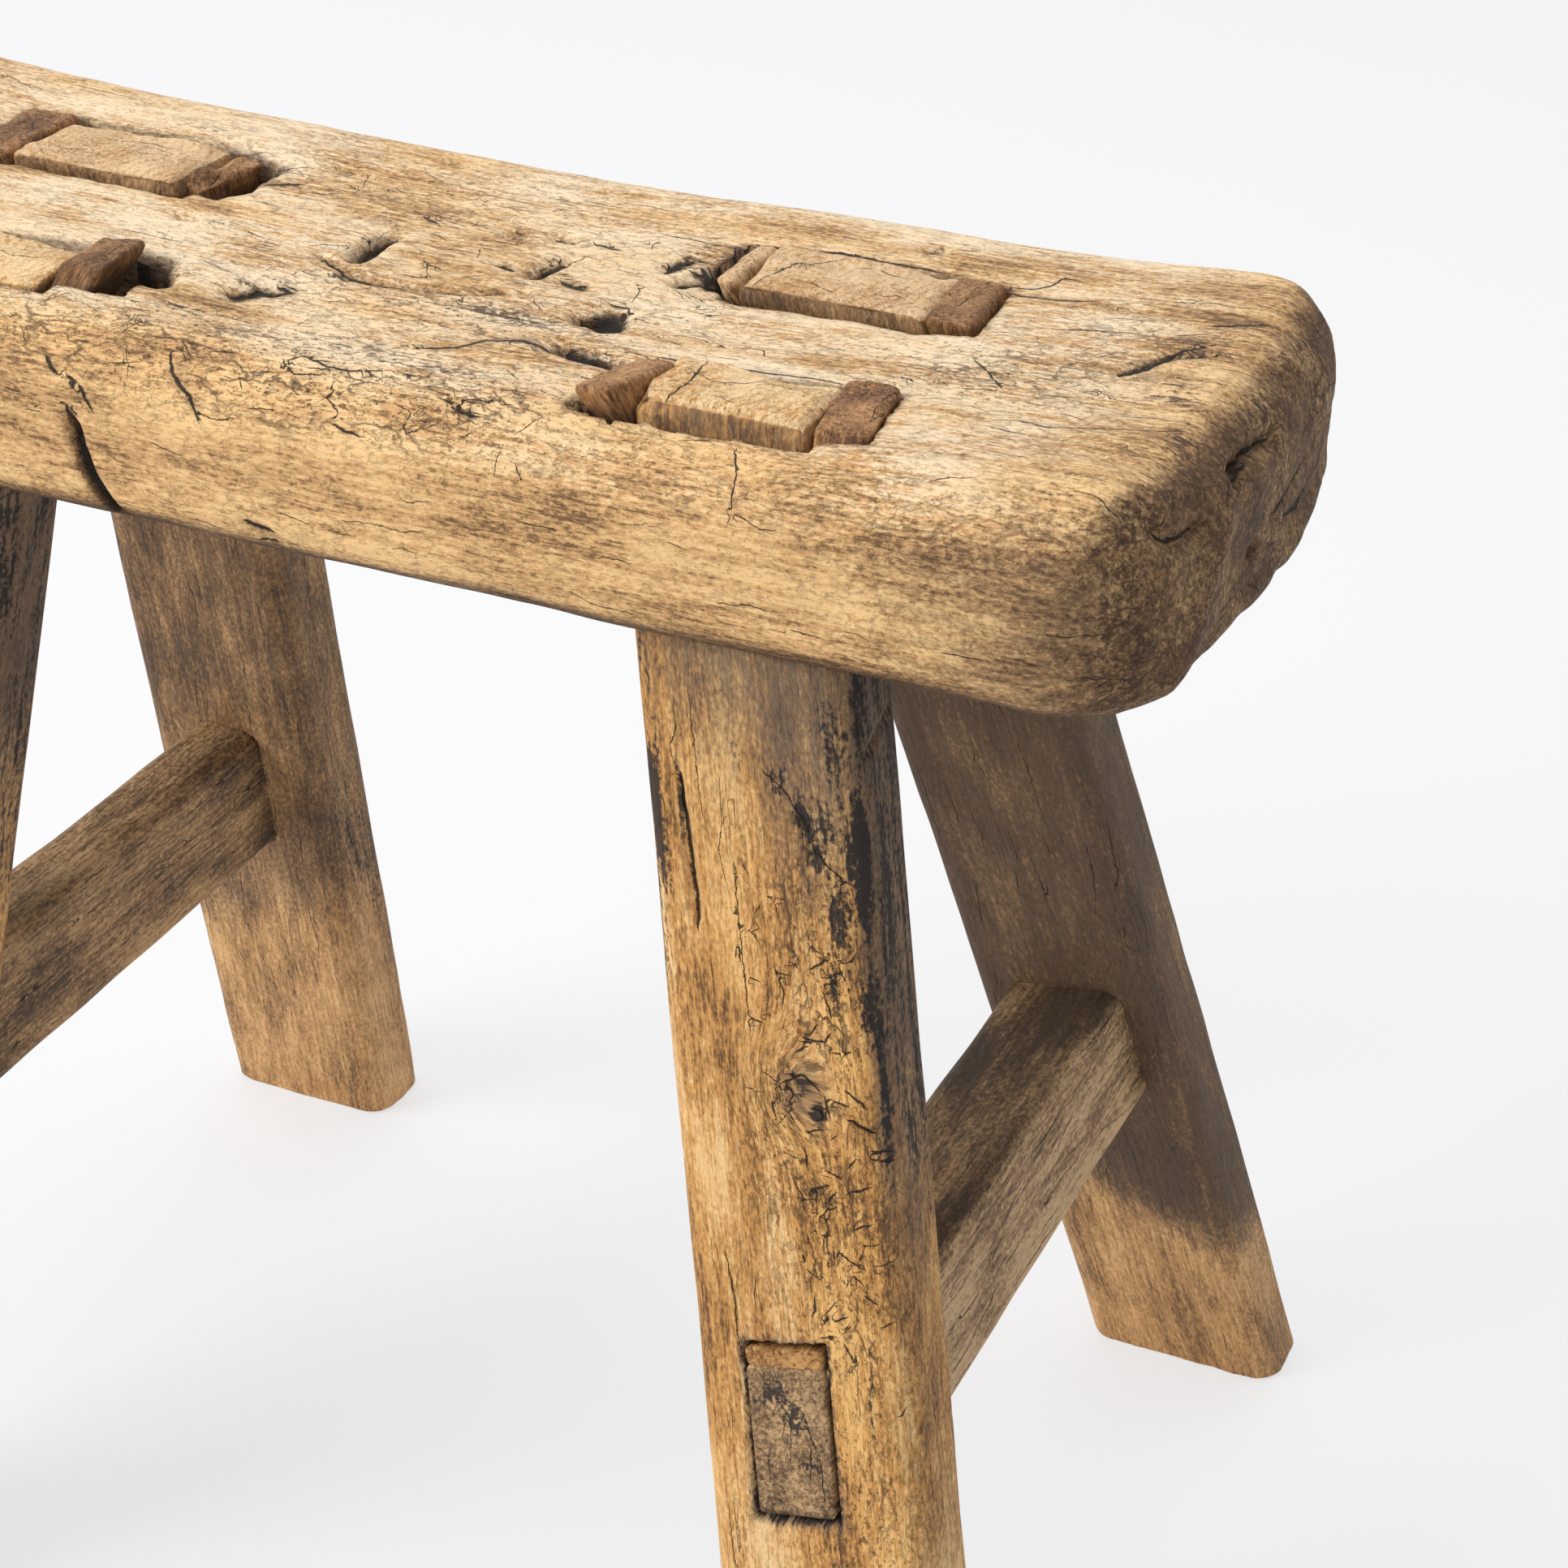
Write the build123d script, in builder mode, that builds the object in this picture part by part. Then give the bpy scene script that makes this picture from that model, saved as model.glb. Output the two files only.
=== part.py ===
from build123d import *
import math
import os

# Rustic plank stool: a thick worn seat on four splayed legs whose tenons pass right
# through the seat and are spread there by wedges, with a stretcher across each end.
# Millimetres, +Z up, origin on the floor under the middle of the seat's length and of
# the feet. +X is the right end and -Y the front.

# Seat plank
seat_length = 344.0
seat_depth = 130.0
seat_top_height = 300.0
seat_thickness = 43.0
seat_set_back = 3.0
seat_wear_dip = 5.5
seat_end_bulge = 5.0
seat_corner_radius = 21.0
seat_top_rounding = 14.0
seat_underside_rounding = 8.0

# Legs: how far in from the seat's ends and edges they meet its underside, how far each
# foot stands out from there along X, and how far past the seat's edge along Y
leg_inset_from_right_end = 82.0
leg_inset_from_left_end = 84.0
leg_inset_from_front = 19.0
leg_inset_from_rear = 33.0
right_splay = 52.5
left_splay = 25.0
right_foot_reach = 36.0
left_foot_reach = 42.5
leg_width_at_seat = 45.0
leg_width_at_floor = 48.5
front_leg_thickness_at_seat = 22.0
rear_leg_thickness_at_seat = 26.0
leg_thickness_at_floor = 22.0
leg_edge_radius = 5.0

# Tenons on the leg tops, and how far each has moved along X by the seat's top
front_tenon_width = 34.0
rear_tenon_width = 40.0
front_tenon_thickness = 19.5
rear_tenon_thickness = 23.5
tenon_proud = 2.5
tenon_side_clearance = 0.25
front_right_tenon_drift = 0.5
front_left_tenon_drift = 6.0
rear_right_tenon_drift = -5.0
rear_left_tenon_drift = -5.0

# Wedges that spread each leg tenon in the seat, one at each end of it
wedge_stop_above_underside = 5.0
wedge_tip = 1.5
wedge_head = 10.0
thin_wedge_head = 7.0
thick_wedge_head = 12.5
wedge_proud = 2.0

# Stretchers: one across each end, between a front and a rear leg. Their tenons lie a
# little nearer the stool's middle than the legs' axes.
right_stretcher_height = 108.0
left_stretcher_height = 121.0
right_stretcher_width = 28.0
left_stretcher_width = 17.0
right_stretcher_depth = 32.5
left_stretcher_depth = 38.0
stretcher_edge_radius = 4.0
right_stretcher_tenon_width = 16.0
left_stretcher_tenon_width = 13.0
stretcher_tenon_depth = 30.0
stretcher_tenon_inset = 2.6
stretcher_tenon_edge_radius = 1.0
stretcher_tenon_proud = 0.8
stretcher_side_clearance = 0.2

# Small wedge over each end of a stretcher, driven in from the leg's outer face
key_length = 15.0
key_head = 3.6
key_tip = 0.8
key_proud = 0.6

# How far every cutting solid runs past what it cuts
overrun = 12.0

underside_height = seat_top_height - seat_thickness
half_length = seat_length / 2
seat_front_y = seat_set_back - seat_depth / 2
seat_rear_y = seat_set_back + seat_depth / 2
sides = {"right": 1, "left": -1}
rows = {"front": -1, "rear": 1}
top_x = {"right": half_length - leg_inset_from_right_end, "left": leg_inset_from_left_end - half_length}
top_y = {"front": seat_front_y + leg_inset_from_front, "rear": seat_rear_y - leg_inset_from_rear}
foot_x = {"right": top_x["right"] + right_splay, "left": top_x["left"] - left_splay}
foot_y = {"right": seat_depth / 2 + right_foot_reach, "left": seat_depth / 2 + left_foot_reach}
leg_thickness_at_seat = {"front": front_leg_thickness_at_seat, "rear": rear_leg_thickness_at_seat}
tenon_width = {"front": front_tenon_width, "rear": rear_tenon_width}
tenon_thickness = {"front": front_tenon_thickness, "rear": rear_tenon_thickness}
tenon_drift = {
    ("front", "right"): front_right_tenon_drift,
    ("front", "left"): front_left_tenon_drift,
    ("rear", "right"): rear_right_tenon_drift,
    ("rear", "left"): rear_left_tenon_drift,
}
odd_wedge_heads = {
    ("front", "right", "inner"): thin_wedge_head,
    ("rear", "left", "inner"): thin_wedge_head,
    ("rear", "left", "outer"): thick_wedge_head,
}
stretcher_height = {"right": right_stretcher_height, "left": left_stretcher_height}
stretcher_width = {"right": right_stretcher_width, "left": left_stretcher_width}
stretcher_depth = {"right": right_stretcher_depth, "left": left_stretcher_depth}
stretcher_tenon_width = {"right": right_stretcher_tenon_width, "left": left_stretcher_tenon_width}

os.makedirs("parts", exist_ok=True)


def leg_axis(side, row, height):
    """Point where a leg's straight axis passes the given height."""
    rise = height / underside_height
    floor_y = rows[row] * foot_y[side]
    x = foot_x[side] + (top_x[side] - foot_x[side]) * rise
    return (x, floor_y + (top_y[row] - floor_y) * rise)


def leg_thickness(row, height):
    """Thickness of a leg from front to back at the given height."""
    rise = height / underside_height
    return leg_thickness_at_floor + (leg_thickness_at_seat[row] - leg_thickness_at_floor) * rise


def tenon_x(side, row, height):
    """Middle of a leg tenon along X: the leg's axis, drifting evenly through the seat."""
    rise = (height - underside_height) / seat_thickness
    return leg_axis(side, row, height)[0] + tenon_drift[row, side] * rise


def seat_surface(x):
    """Height of the worn seat top at a distance x from its middle."""
    return seat_top_height - seat_wear_dip * (1 - (2 * x / seat_length) ** 2)


def export_piece(piece, name):
    """Label a finished piece and write its STEP file."""
    piece.label = name
    export_step(piece, f"parts/{name}.step")


def leaning_prism(side, row, outline, thickness):
    """Solid with an outline of (x, height) points, leaning in Y as the leg does."""
    height = outline[0][1]
    y = leg_axis(side, row, height)[1]
    lean = (leg_axis(side, row, height + seat_thickness)[1] - y) / seat_thickness
    stretch = math.hypot(1, lean)
    with BuildPart() as prism:
        with BuildSketch(Plane(origin=(0, y, height), x_dir=(1, 0, 0), z_dir=(0, -1, lean))):
            with BuildLine():
                Polyline([(px, (pz - height) * stretch) for px, pz in outline], close=True)
            make_face()
        extrude(amount=thickness / 2, both=True, dir=(0, 1, 0))
    return prism.part


def tenon_solid(side, row, top, side_gap):
    """Leg tenon from the seat's underside to a height, wider in Y by a gap on each face."""
    outline = []
    for height, ends in ((underside_height, (-1, 1)), (top, (1, -1))):
        for end in ends:
            outline.append((tenon_x(side, row, height) + end * tenon_width[row] / 2, height))
    return leaning_prism(side, row, outline, tenon_thickness[row] + 2 * side_gap)


def wedge_solid(side, row, end, top, side_gap):
    """Wedge along the inner or the outer end of a leg tenon, thick at the seat's top."""
    direction = sides[side] if end == "outer" else -sides[side]
    head = odd_wedge_heads.get((row, side, end), wedge_head)
    head_height = seat_surface(tenon_x(side, row, seat_top_height))
    tip_height = underside_height + wedge_stop_above_underside
    growth = (head - wedge_tip) / (head_height - tip_height)
    outline = []
    for height, edges in ((tip_height, (0, 1)), (top, (1, 0))):
        thickness = wedge_tip + growth * (height - tip_height)
        inner_edge = tenon_x(side, row, height) + direction * tenon_width[row] / 2
        for edge in edges:
            outline.append((inner_edge + direction * edge * thickness, height))
    return leaning_prism(side, row, outline, tenon_thickness[row] + 2 * side_gap)


def leg_face(side, row, facing, gap):
    """Plane of a leg's front or back face; facing 1 is the face turned outwards."""
    outward = rows[row] * facing
    floor_face = rows[row] * foot_y[side] + outward * (leg_thickness_at_floor / 2 + gap)
    seat_face = top_y[row] + outward * (leg_thickness_at_seat[row] / 2 + gap)
    lean = seat_face - floor_face
    return Plane(
        origin=(0, floor_face, 0),
        x_dir=(1, 0, 0),
        z_dir=(0, outward * underside_height, -outward * lean),
    )


def stretcher_frame(side):
    """Frame at a stretcher's middle: its x is +Y and its y runs up along the legs."""
    height = stretcher_height[side]
    x = leg_axis(side, "front", height)[0]
    lean = math.atan2(top_x[side] - x, underside_height - height)
    return Plane(
        origin=(x, 0, height), x_dir=(0, 1, 0), z_dir=(math.cos(lean), 0, -math.sin(lean))
    )


def cross_bar(side, inset, width, depth, radius, ends, kept):
    """Bar along Y, inset towards the stool's middle, tilted as its legs are and cut at planes."""
    frame = stretcher_frame(side)
    section = Plane(origin=frame.origin, x_dir=frame.z_dir, z_dir=(0, -1, 0))
    with BuildPart() as bar:
        with BuildSketch(section):
            with Locations((-sides[side] * inset, 0)):
                RectangleRounded(width, depth, radius)
        extrude(amount=foot_y[side] + leg_thickness_at_floor + overrun, both=True)
        for end in ends:
            split(bisect_by=end, keep=kept)
    return bar.part


def key_solid(side, row, cut, side_gap):
    """Small wedge lying on a stretcher tenon, thick at the leg's outer face."""
    height = stretcher_height[side]
    face = rows[row] * (abs(leg_axis(side, row, height)[1]) + leg_thickness(row, height) / 2)
    growth = (key_head - key_tip) / key_length
    outer = face + rows[row] * overrun
    inner = face - rows[row] * key_length
    bottom = stretcher_tenon_depth / 2
    outer_top = bottom + key_head + growth * overrun
    with BuildPart() as key:
        with BuildSketch(stretcher_frame(side).offset(-sides[side] * stretcher_tenon_inset)):
            with BuildLine():
                Polyline(
                    (inner, bottom), (outer, bottom), (outer, outer_top), (inner, bottom + key_tip),
                    close=True,
                )
            make_face()
        extrude(amount=stretcher_tenon_width[side] / 2 + side_gap, both=True)
        if cut:
            split(bisect_by=leg_face(side, row, 1, key_proud), keep=Keep.BOTTOM)
    return key.part


# Seat: one thick plank, bulging a little at its ends and worn hollow along the top,
# with four mortises that follow the legs and flare at both ends for the wedges
straight_end = half_length - seat_end_bulge
reach = half_length + overrun
clear_height = seat_top_height + overrun
with BuildPart() as seat:
    with BuildSketch(Plane.XY.offset(underside_height)):
        with BuildLine():
            Line((-straight_end, seat_front_y), (straight_end, seat_front_y))
            ThreePointArc(
                (straight_end, seat_front_y), (half_length, seat_set_back), (straight_end, seat_rear_y)
            )
            Line((straight_end, seat_rear_y), (-straight_end, seat_rear_y))
            ThreePointArc(
                (-straight_end, seat_rear_y), (-half_length, seat_set_back), (-straight_end, seat_front_y)
            )
        plan = make_face()
        fillet(plan.vertices(), seat_corner_radius)
    extrude(amount=seat_thickness)
    with BuildSketch(Plane.XZ.offset(-seat_set_back)):
        with BuildLine():
            hollow = ThreePointArc(
                (-reach, seat_surface(reach)), (0, seat_surface(0)), (reach, seat_surface(reach))
            )
            Polyline(hollow @ 1, (reach, clear_height), (-reach, clear_height), hollow @ 0)
        make_face()
    extrude(amount=seat_depth / 2 + overrun, both=True, mode=Mode.SUBTRACT)
    fillet(faces().sort_by(Axis.Z)[-1].edges(), seat_top_rounding)
    fillet(faces().sort_by(Axis.Z)[0].edges(), seat_underside_rounding)
    for side in sides:
        for row in rows:
            add(tenon_solid(side, row, clear_height, tenon_side_clearance), mode=Mode.SUBTRACT)
            for end in ("inner", "outer"):
                wedge_hole = wedge_solid(side, row, end, clear_height, tenon_side_clearance)
                add(wedge_hole, mode=Mode.SUBTRACT)
export_piece(seat.part, "seat")

# Stretchers: a bar shouldered against the inner faces of two legs, with a tenon through each
for side in sides:
    with BuildPart() as stretcher:
        add(
            cross_bar(
                side, 0, stretcher_width[side], stretcher_depth[side], stretcher_edge_radius,
                [leg_face(side, row, -1, 0) for row in rows], Keep.TOP,
            )
        )
        add(
            cross_bar(
                side, stretcher_tenon_inset, stretcher_tenon_width[side], stretcher_tenon_depth,
                stretcher_tenon_edge_radius,
                [leg_face(side, row, 1, stretcher_tenon_proud) for row in rows], Keep.BOTTOM,
            )
        )
    export_piece(stretcher.part, f"stretcher_{side}")

# Legs: tapered rounded bars with a flat foot, a level shoulder under the seat, the tenon
# above it and a mortise for the stretcher
for side in sides:
    mortise_width = stretcher_tenon_width[side] + 2 * stretcher_side_clearance
    for row in rows:
        tenon_top = seat_surface(tenon_x(side, row, seat_top_height)) + tenon_proud
        with BuildPart() as leg:
            for height, width, thickness in (
                (0, leg_width_at_floor, leg_thickness_at_floor),
                (underside_height, leg_width_at_seat, leg_thickness_at_seat[row]),
            ):
                with BuildSketch(Plane.XY.offset(height)):
                    with Locations(leg_axis(side, row, height)):
                        RectangleRounded(width, thickness, leg_edge_radius)
            loft(ruled=True)
            add(tenon_solid(side, row, tenon_top, 0))
            add(
                cross_bar(
                    side, stretcher_tenon_inset, mortise_width, stretcher_tenon_depth,
                    stretcher_tenon_edge_radius, [], Keep.BOTTOM,
                ),
                mode=Mode.SUBTRACT,
            )
            add(key_solid(side, row, False, stretcher_side_clearance), mode=Mode.SUBTRACT)
        export_piece(leg.part, f"leg_{row}_{side}")

# Wedges in the seat and keys over the stretcher tenons
for side in sides:
    for row in rows:
        wedge_top = seat_surface(tenon_x(side, row, seat_top_height)) + wedge_proud
        for end in ("inner", "outer"):
            wedge = wedge_solid(side, row, end, wedge_top, 0)
            export_piece(wedge, f"seat_wedge_{row}_{side}_{end}")
        export_piece(key_solid(side, row, True, 0), f"stretcher_wedge_{row}_{side}")
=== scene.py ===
import math

import bpy
import numpy as np
from mathutils import Matrix, Vector


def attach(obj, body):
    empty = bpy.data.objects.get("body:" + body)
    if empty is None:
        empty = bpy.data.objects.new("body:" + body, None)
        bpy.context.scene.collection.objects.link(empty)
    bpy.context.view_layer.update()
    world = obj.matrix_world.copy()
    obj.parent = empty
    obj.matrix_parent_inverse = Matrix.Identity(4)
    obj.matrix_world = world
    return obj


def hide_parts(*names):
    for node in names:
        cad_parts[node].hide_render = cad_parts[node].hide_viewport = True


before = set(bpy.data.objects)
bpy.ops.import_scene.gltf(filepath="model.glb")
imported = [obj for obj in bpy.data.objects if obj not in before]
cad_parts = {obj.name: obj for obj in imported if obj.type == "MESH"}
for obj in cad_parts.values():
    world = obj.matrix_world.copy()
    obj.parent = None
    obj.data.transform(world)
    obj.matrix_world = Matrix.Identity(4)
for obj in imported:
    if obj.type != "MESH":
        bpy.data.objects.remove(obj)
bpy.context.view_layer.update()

# Seat: one thick plank, hewn from a log and worn hollow and round by years of use. It is
# bare, sun-bleached softwood with open drying cracks, its top painted paler still as light
# from above and its underside and ends painted darker as shade. The leg tenons come up
# through four mortises, whose mouths have worn into shallow pockets. Sizes are in millimetres.
millimetre = 0.001
seat_half_length = 172.0
seat_front = -62.0
seat_rear = 68.0
seat_bottom = 257.0
seat_top = 300.0
seat_wear_dip = 5.5
seat_corner = 21.0
seat_end_bulge = 5.0
seat_end_crown = 1.6
seat_end_top_rounding = 14.0
seat_end_bottom_rounding = 9.0
seat_edge_radii = (10.0, 7.0, 12.0, 17.0)
seat_middle_y = (seat_front + seat_rear) / 2
seat_half_depth = (seat_rear - seat_front) / 2
coarse_step = 1.2
fine_step = 0.5
quarter_turn = math.pi / 2
# Farther than any mark reaches, how far a crack's own field reaches, and how fast a crack
# narrows at its ends
far = 99.0
crack_reach = 5.0
crack_taper = 0.35


def graded(start, stop, places, reach):
    """Positions from start to stop. The step is fine at the places given and grows evenly
    to coarse at the reach away from them."""
    probe = np.linspace(start, stop, 4001)
    away = np.abs(probe[:, None] - np.asarray(places)).min(axis=1)
    rate = 1 / (fine_step + (coarse_step - fine_step) * np.clip(away / reach, 0, 1))
    count = np.concatenate(([0], np.cumsum((rate[1:] + rate[:-1]) / 2 * np.diff(probe))))
    return np.interp(np.linspace(0, count[-1], math.ceil(count[-1]) + 1), count, probe)


def columns(*runs):
    """One column for each quantity, over all stations. A run of stations gives a list for
    each quantity, or one number that holds for the whole run."""
    return np.concatenate([np.stack(np.broadcast_arrays(*run), 1) for run in runs]).T


def inner_shares(steps):
    """The points between the ends of a side cut into equal steps."""
    return np.linspace(0, 1, steps)[1:-1]


def rounded_loops(low, high, radii, shares, turns):
    """Loops round rectangles with corners low and high, one for each station. Starting at
    low, four arcs of the given radii alternate with four straight sides, and the points of
    a side lie at the given shares of it."""
    inward = np.array(((1, 1), (-1, 1), (-1, -1), (1, -1)))
    centre = np.where(inward > 0, low[:, None], high[:, None]) + radii[:, :, None] * inward
    arcs = []
    for corner, steps in enumerate(turns):
        angle = math.pi + corner * quarter_turn + np.linspace(0, quarter_turn, steps + 1)
        circle = np.stack((np.cos(angle), np.sin(angle)), 1)
        arcs.append(centre[:, corner, None] + radii[:, corner, None, None] * circle)
    parts = []
    for arc, after, share in zip(arcs, arcs[1:] + arcs[:1], shares):
        start = arc[:, -1:]
        parts += [arc, start + (after[:, :1] - start) * share[None, :, None]]
    return np.concatenate(parts, 1)


def fillet_inset(depth, radius):
    """How far a fillet of a radius stands back from its face, at a depth from the other."""
    short = np.clip(radius - depth, 0, radius)
    return radius - np.sqrt(radius ** 2 - short ** 2)


def smooth(value, low, high):
    """0 below low and 1 above high, with 3t^2 - 2t^3 between them."""
    t = np.clip((value - low) / (high - low), 0, 1)
    return t * t * (3 - 2 * t)


def strongest(*marks):
    """The strongest of several marks at each point."""
    return np.maximum.reduce(marks)


def fade(distance, width):
    """1 up to a rim, then exp(-distance / width)."""
    return np.exp(-np.maximum(distance, 0) / width)


def waves(place, lengths, seed):
    """Noise from -1 to 1 with waves of the given lengths: a hashed number at each corner of
    a lattice, blended between the eight corners round a place by 3t^2 - 2t^3."""
    place = place / lengths
    cell = np.floor(place).astype(np.int64)
    share = place - cell
    share = share * share * (3 - 2 * share)
    total = np.zeros(len(place))
    cell_steps, seed_step, shuffle = np.array((73856093, 19349663, 83492791)), 40503, 1274126177
    largest = 0xFFFF
    for corner in np.ndindex(2, 2, 2):
        key = (cell + corner) @ cell_steps + seed * seed_step
        key = (key ^ (key >> 13)) * shuffle
        key = (key ^ (key >> 16)) & largest
        weight = np.where(np.array(corner) == 1, share, 1 - share).prod(axis=-1)
        total += weight * (key / (largest / 2) - 1)
    return total


def unrolled(loops):
    """The points of a grid of closed loops, their unit normals (the step round crossed with
    the step along) and an empty crack field, each with one row for a point."""
    around = np.roll(loops, -1, axis=1) - np.roll(loops, 1, axis=1)
    normal = np.cross(around, np.gradient(loops, axis=0)).reshape(-1, 3)
    normal /= np.maximum(np.linalg.norm(normal, axis=1, keepdims=True), 1e-12)
    return loops.reshape(-1, 3), normal, np.tile((far, far, 0.0), (len(normal), 1))


def line_distance(flat, points):
    """For flat points: the distance to a bent line, its sign by side, and the share of the
    line's length at which the nearest point lies."""
    steps = np.diff(points, axis=0)
    runs = np.hypot(*steps.T)
    best = np.full(len(flat), np.inf)
    side = np.ones(len(flat))
    share = np.zeros(len(flat))
    for start, step, run, past in zip(points[:-1], steps, runs, np.cumsum(runs) - runs):
        off = flat - start
        t = np.clip(off @ step / run ** 2, 0, 1)
        off = off - t[:, None] * step
        away = np.hypot(*off.T)
        closer = away < best
        best = np.where(closer, away, best)
        side = np.where(closer, np.sign(step[0] * off[:, 1] - step[1] * off[:, 0]), side)
        share = np.where(closer, (past + t * run) / runs.sum(), share)
    return best, side, share


def draw_cracks(field, flat, chosen, *line_lists):
    """Write the nearest crack into the field of the chosen points: signed distance, plain
    distance and half width. A crack narrows to nothing at its two ends."""
    chosen = np.flatnonzero(chosen)
    for half_width, *points in (line for lines in line_lists for line in lines):
        corners = np.reshape(points, (-1, 2))
        middle = (corners.min(0) + corners.max(0)) / 2
        span = np.ptp(corners, axis=0) / 2 + crack_reach
        near = chosen[(np.abs(flat[chosen] - middle) < span).all(axis=1)]
        away, side, share = line_distance(flat[near], corners)
        half = half_width * (4 * share * (1 - share)) ** crack_taper
        closer = away - half < field[near, 1] - field[near, 2]
        field[near[closer]] = np.stack((side * away, away, half), 1)[closer]


def dent(flat, chosen, lines):
    """Depth of hollows along bent lines: each falls off as exp(-(distance / width)^2)."""
    depth = np.zeros(len(flat))
    for width, deepest, *points in lines:
        away = line_distance(flat[chosen], np.reshape(points, (-1, 2)))[0]
        depth[chosen] = np.maximum(depth[chosen], deepest * np.exp(-(away / width) ** 2))
    return depth


def box_distance(flat, x, y, half_x, half_y, degrees=0.0):
    """Distance of flat points from a turned rectangle, negative inside it."""
    angle = math.radians(degrees)
    off_x, off_y = (flat - (x, y)).T
    over_x = np.abs(off_x * math.cos(angle) + off_y * math.sin(angle)) - half_x
    over_y = np.abs(off_y * math.cos(angle) - off_x * math.sin(angle)) - half_y
    outside = np.hypot(np.maximum(over_x, 0), np.maximum(over_y, 0))
    return outside + np.minimum(np.maximum(over_x, over_y), 0)


def blobs(flat, spots):
    """Soft marks, each x, y, half size along x and y, and strength: the strongest counts."""
    mark = np.zeros(len(flat))
    for x, y, half_x, half_y, strength in spots:
        off = ((flat[:, 0] - x) / half_x) ** 2 + ((flat[:, 1] - y) / half_y) ** 2
        mark = np.maximum(mark, strength * np.exp(-off))
    return mark


def scattered_cracks(dice, count, low, high, lengths, half_widths, slope, order=1):
    """Short cracks strewn over a rectangle. Each runs near the first axis, turned by a
    random slope, and bends a little at two points. With order -1 the axes change places."""
    lines = []
    for start in dice.uniform(low, high, (count, 2)):
        length = dice.uniform(*lengths)
        angle = dice.normal(0, slope)
        steps = np.linspace(0, length, 4)
        drift = np.cumsum(dice.normal(0, 0.05 * length, 4))
        x = start[0] + steps * math.cos(angle) - drift * math.sin(angle)
        y = start[1] + steps * math.sin(angle) + drift * math.cos(angle)
        half_width = dice.uniform(*half_widths)
        lines.append((half_width, *np.stack((x, y)[::order], 1).ravel()))
    return lines


def put_piece(node, slot, material, loops, surface, grain, cracks, weathering_and_shading, flaking, **marks):
    """Mesh of a grid of closed loops, with a fan to the middle of the first and last loop.
    It stands for its CAD node. The material reads marks kept at its points: the place in
    the grain, the nearest crack, how bleached, stained and grimy it is together with the
    painted light and shade that these marks carry, and its flaking."""
    stations, around = loops.shape[:2]
    index = np.arange(stations * around).reshape(stations, around)
    after = np.roll(index, -1, axis=1)
    middle = np.full(around, stations * around)
    faces = np.stack((index[:-1], after[:-1], after[1:], index[1:]), 2).reshape(-1, 4).tolist()
    faces += np.stack((middle, after[0], index[0]), 1).tolist()
    faces += np.stack((middle + 1, index[-1], after[-1]), 1).tolist()

    def with_middles(values):
        grid = values.reshape(stations, around, -1)
        return np.concatenate((grid.reshape(middle[0], -1), grid[[0, -1]].mean(axis=1)))

    mesh = bpy.data.meshes.new(node)
    mesh.from_pydata((with_middles(surface) * millimetre).tolist(), [], faces)
    weathering_and_shading = np.stack([np.broadcast_to(share, middle[0]) for share in weathering_and_shading], 1)
    marks |= {"grain_place": grain, "crack_field": cracks, "weathering_and_shading": weathering_and_shading,
              "flaking": np.broadcast_to(flaking, middle[0])}
    for mark, values in marks.items():
        kind, field = ("FLOAT_VECTOR", "vector") if values.ndim > 1 else ("FLOAT", "value")
        mesh.attributes.new(mark, kind, "POINT").data.foreach_set(
            field, with_middles(values).astype(np.float32).ravel())
    mesh.shade_smooth()
    mesh.materials.append(material)
    piece = bpy.data.objects.new(node, mesh)
    bpy.context.scene.collection.objects.link(piece)
    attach(piece, "root")
    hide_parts(node)


class Flow:
    """What a node puts out. Sums, products and the like of flows add one node each."""

    def __init__(self, wiring, socket):
        self.wiring = wiring
        self.socket = socket

    def math(self, operation, other=0.0):
        return self.wiring.add("ShaderNodeMath", {0: self, 1: other}, operation=operation)

    def __add__(self, other):
        return self.math("ADD", other)

    def __mul__(self, other):
        return self.math("MULTIPLY", other)

    def __sub__(self, other):
        return self.math("SUBTRACT", other)

    def __rsub__(self, other):
        return self.wiring.add("ShaderNodeMath", {0: other, 1: self}, operation="SUBTRACT")

    def __truediv__(self, other):
        return self.math("DIVIDE", other)

    def __abs__(self):
        return self.math("ABSOLUTE")

    def larger(self, other):
        return self.math("MAXIMUM", other)

    def rise(self, low, high, start=0.0, stop=1.0):
        """Start below low and stop above high, with a smooth step between them."""
        values = {0: self, 1: low, 2: high, 3: start, 4: stop}
        return self.wiring.add("ShaderNodeMapRange", values, interpolation_type="SMOOTHSTEP")

    def fall(self, low, high):
        return self.rise(low, high, 1.0, 0.0)

    __radd__, __rmul__ = __add__, __mul__


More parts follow.
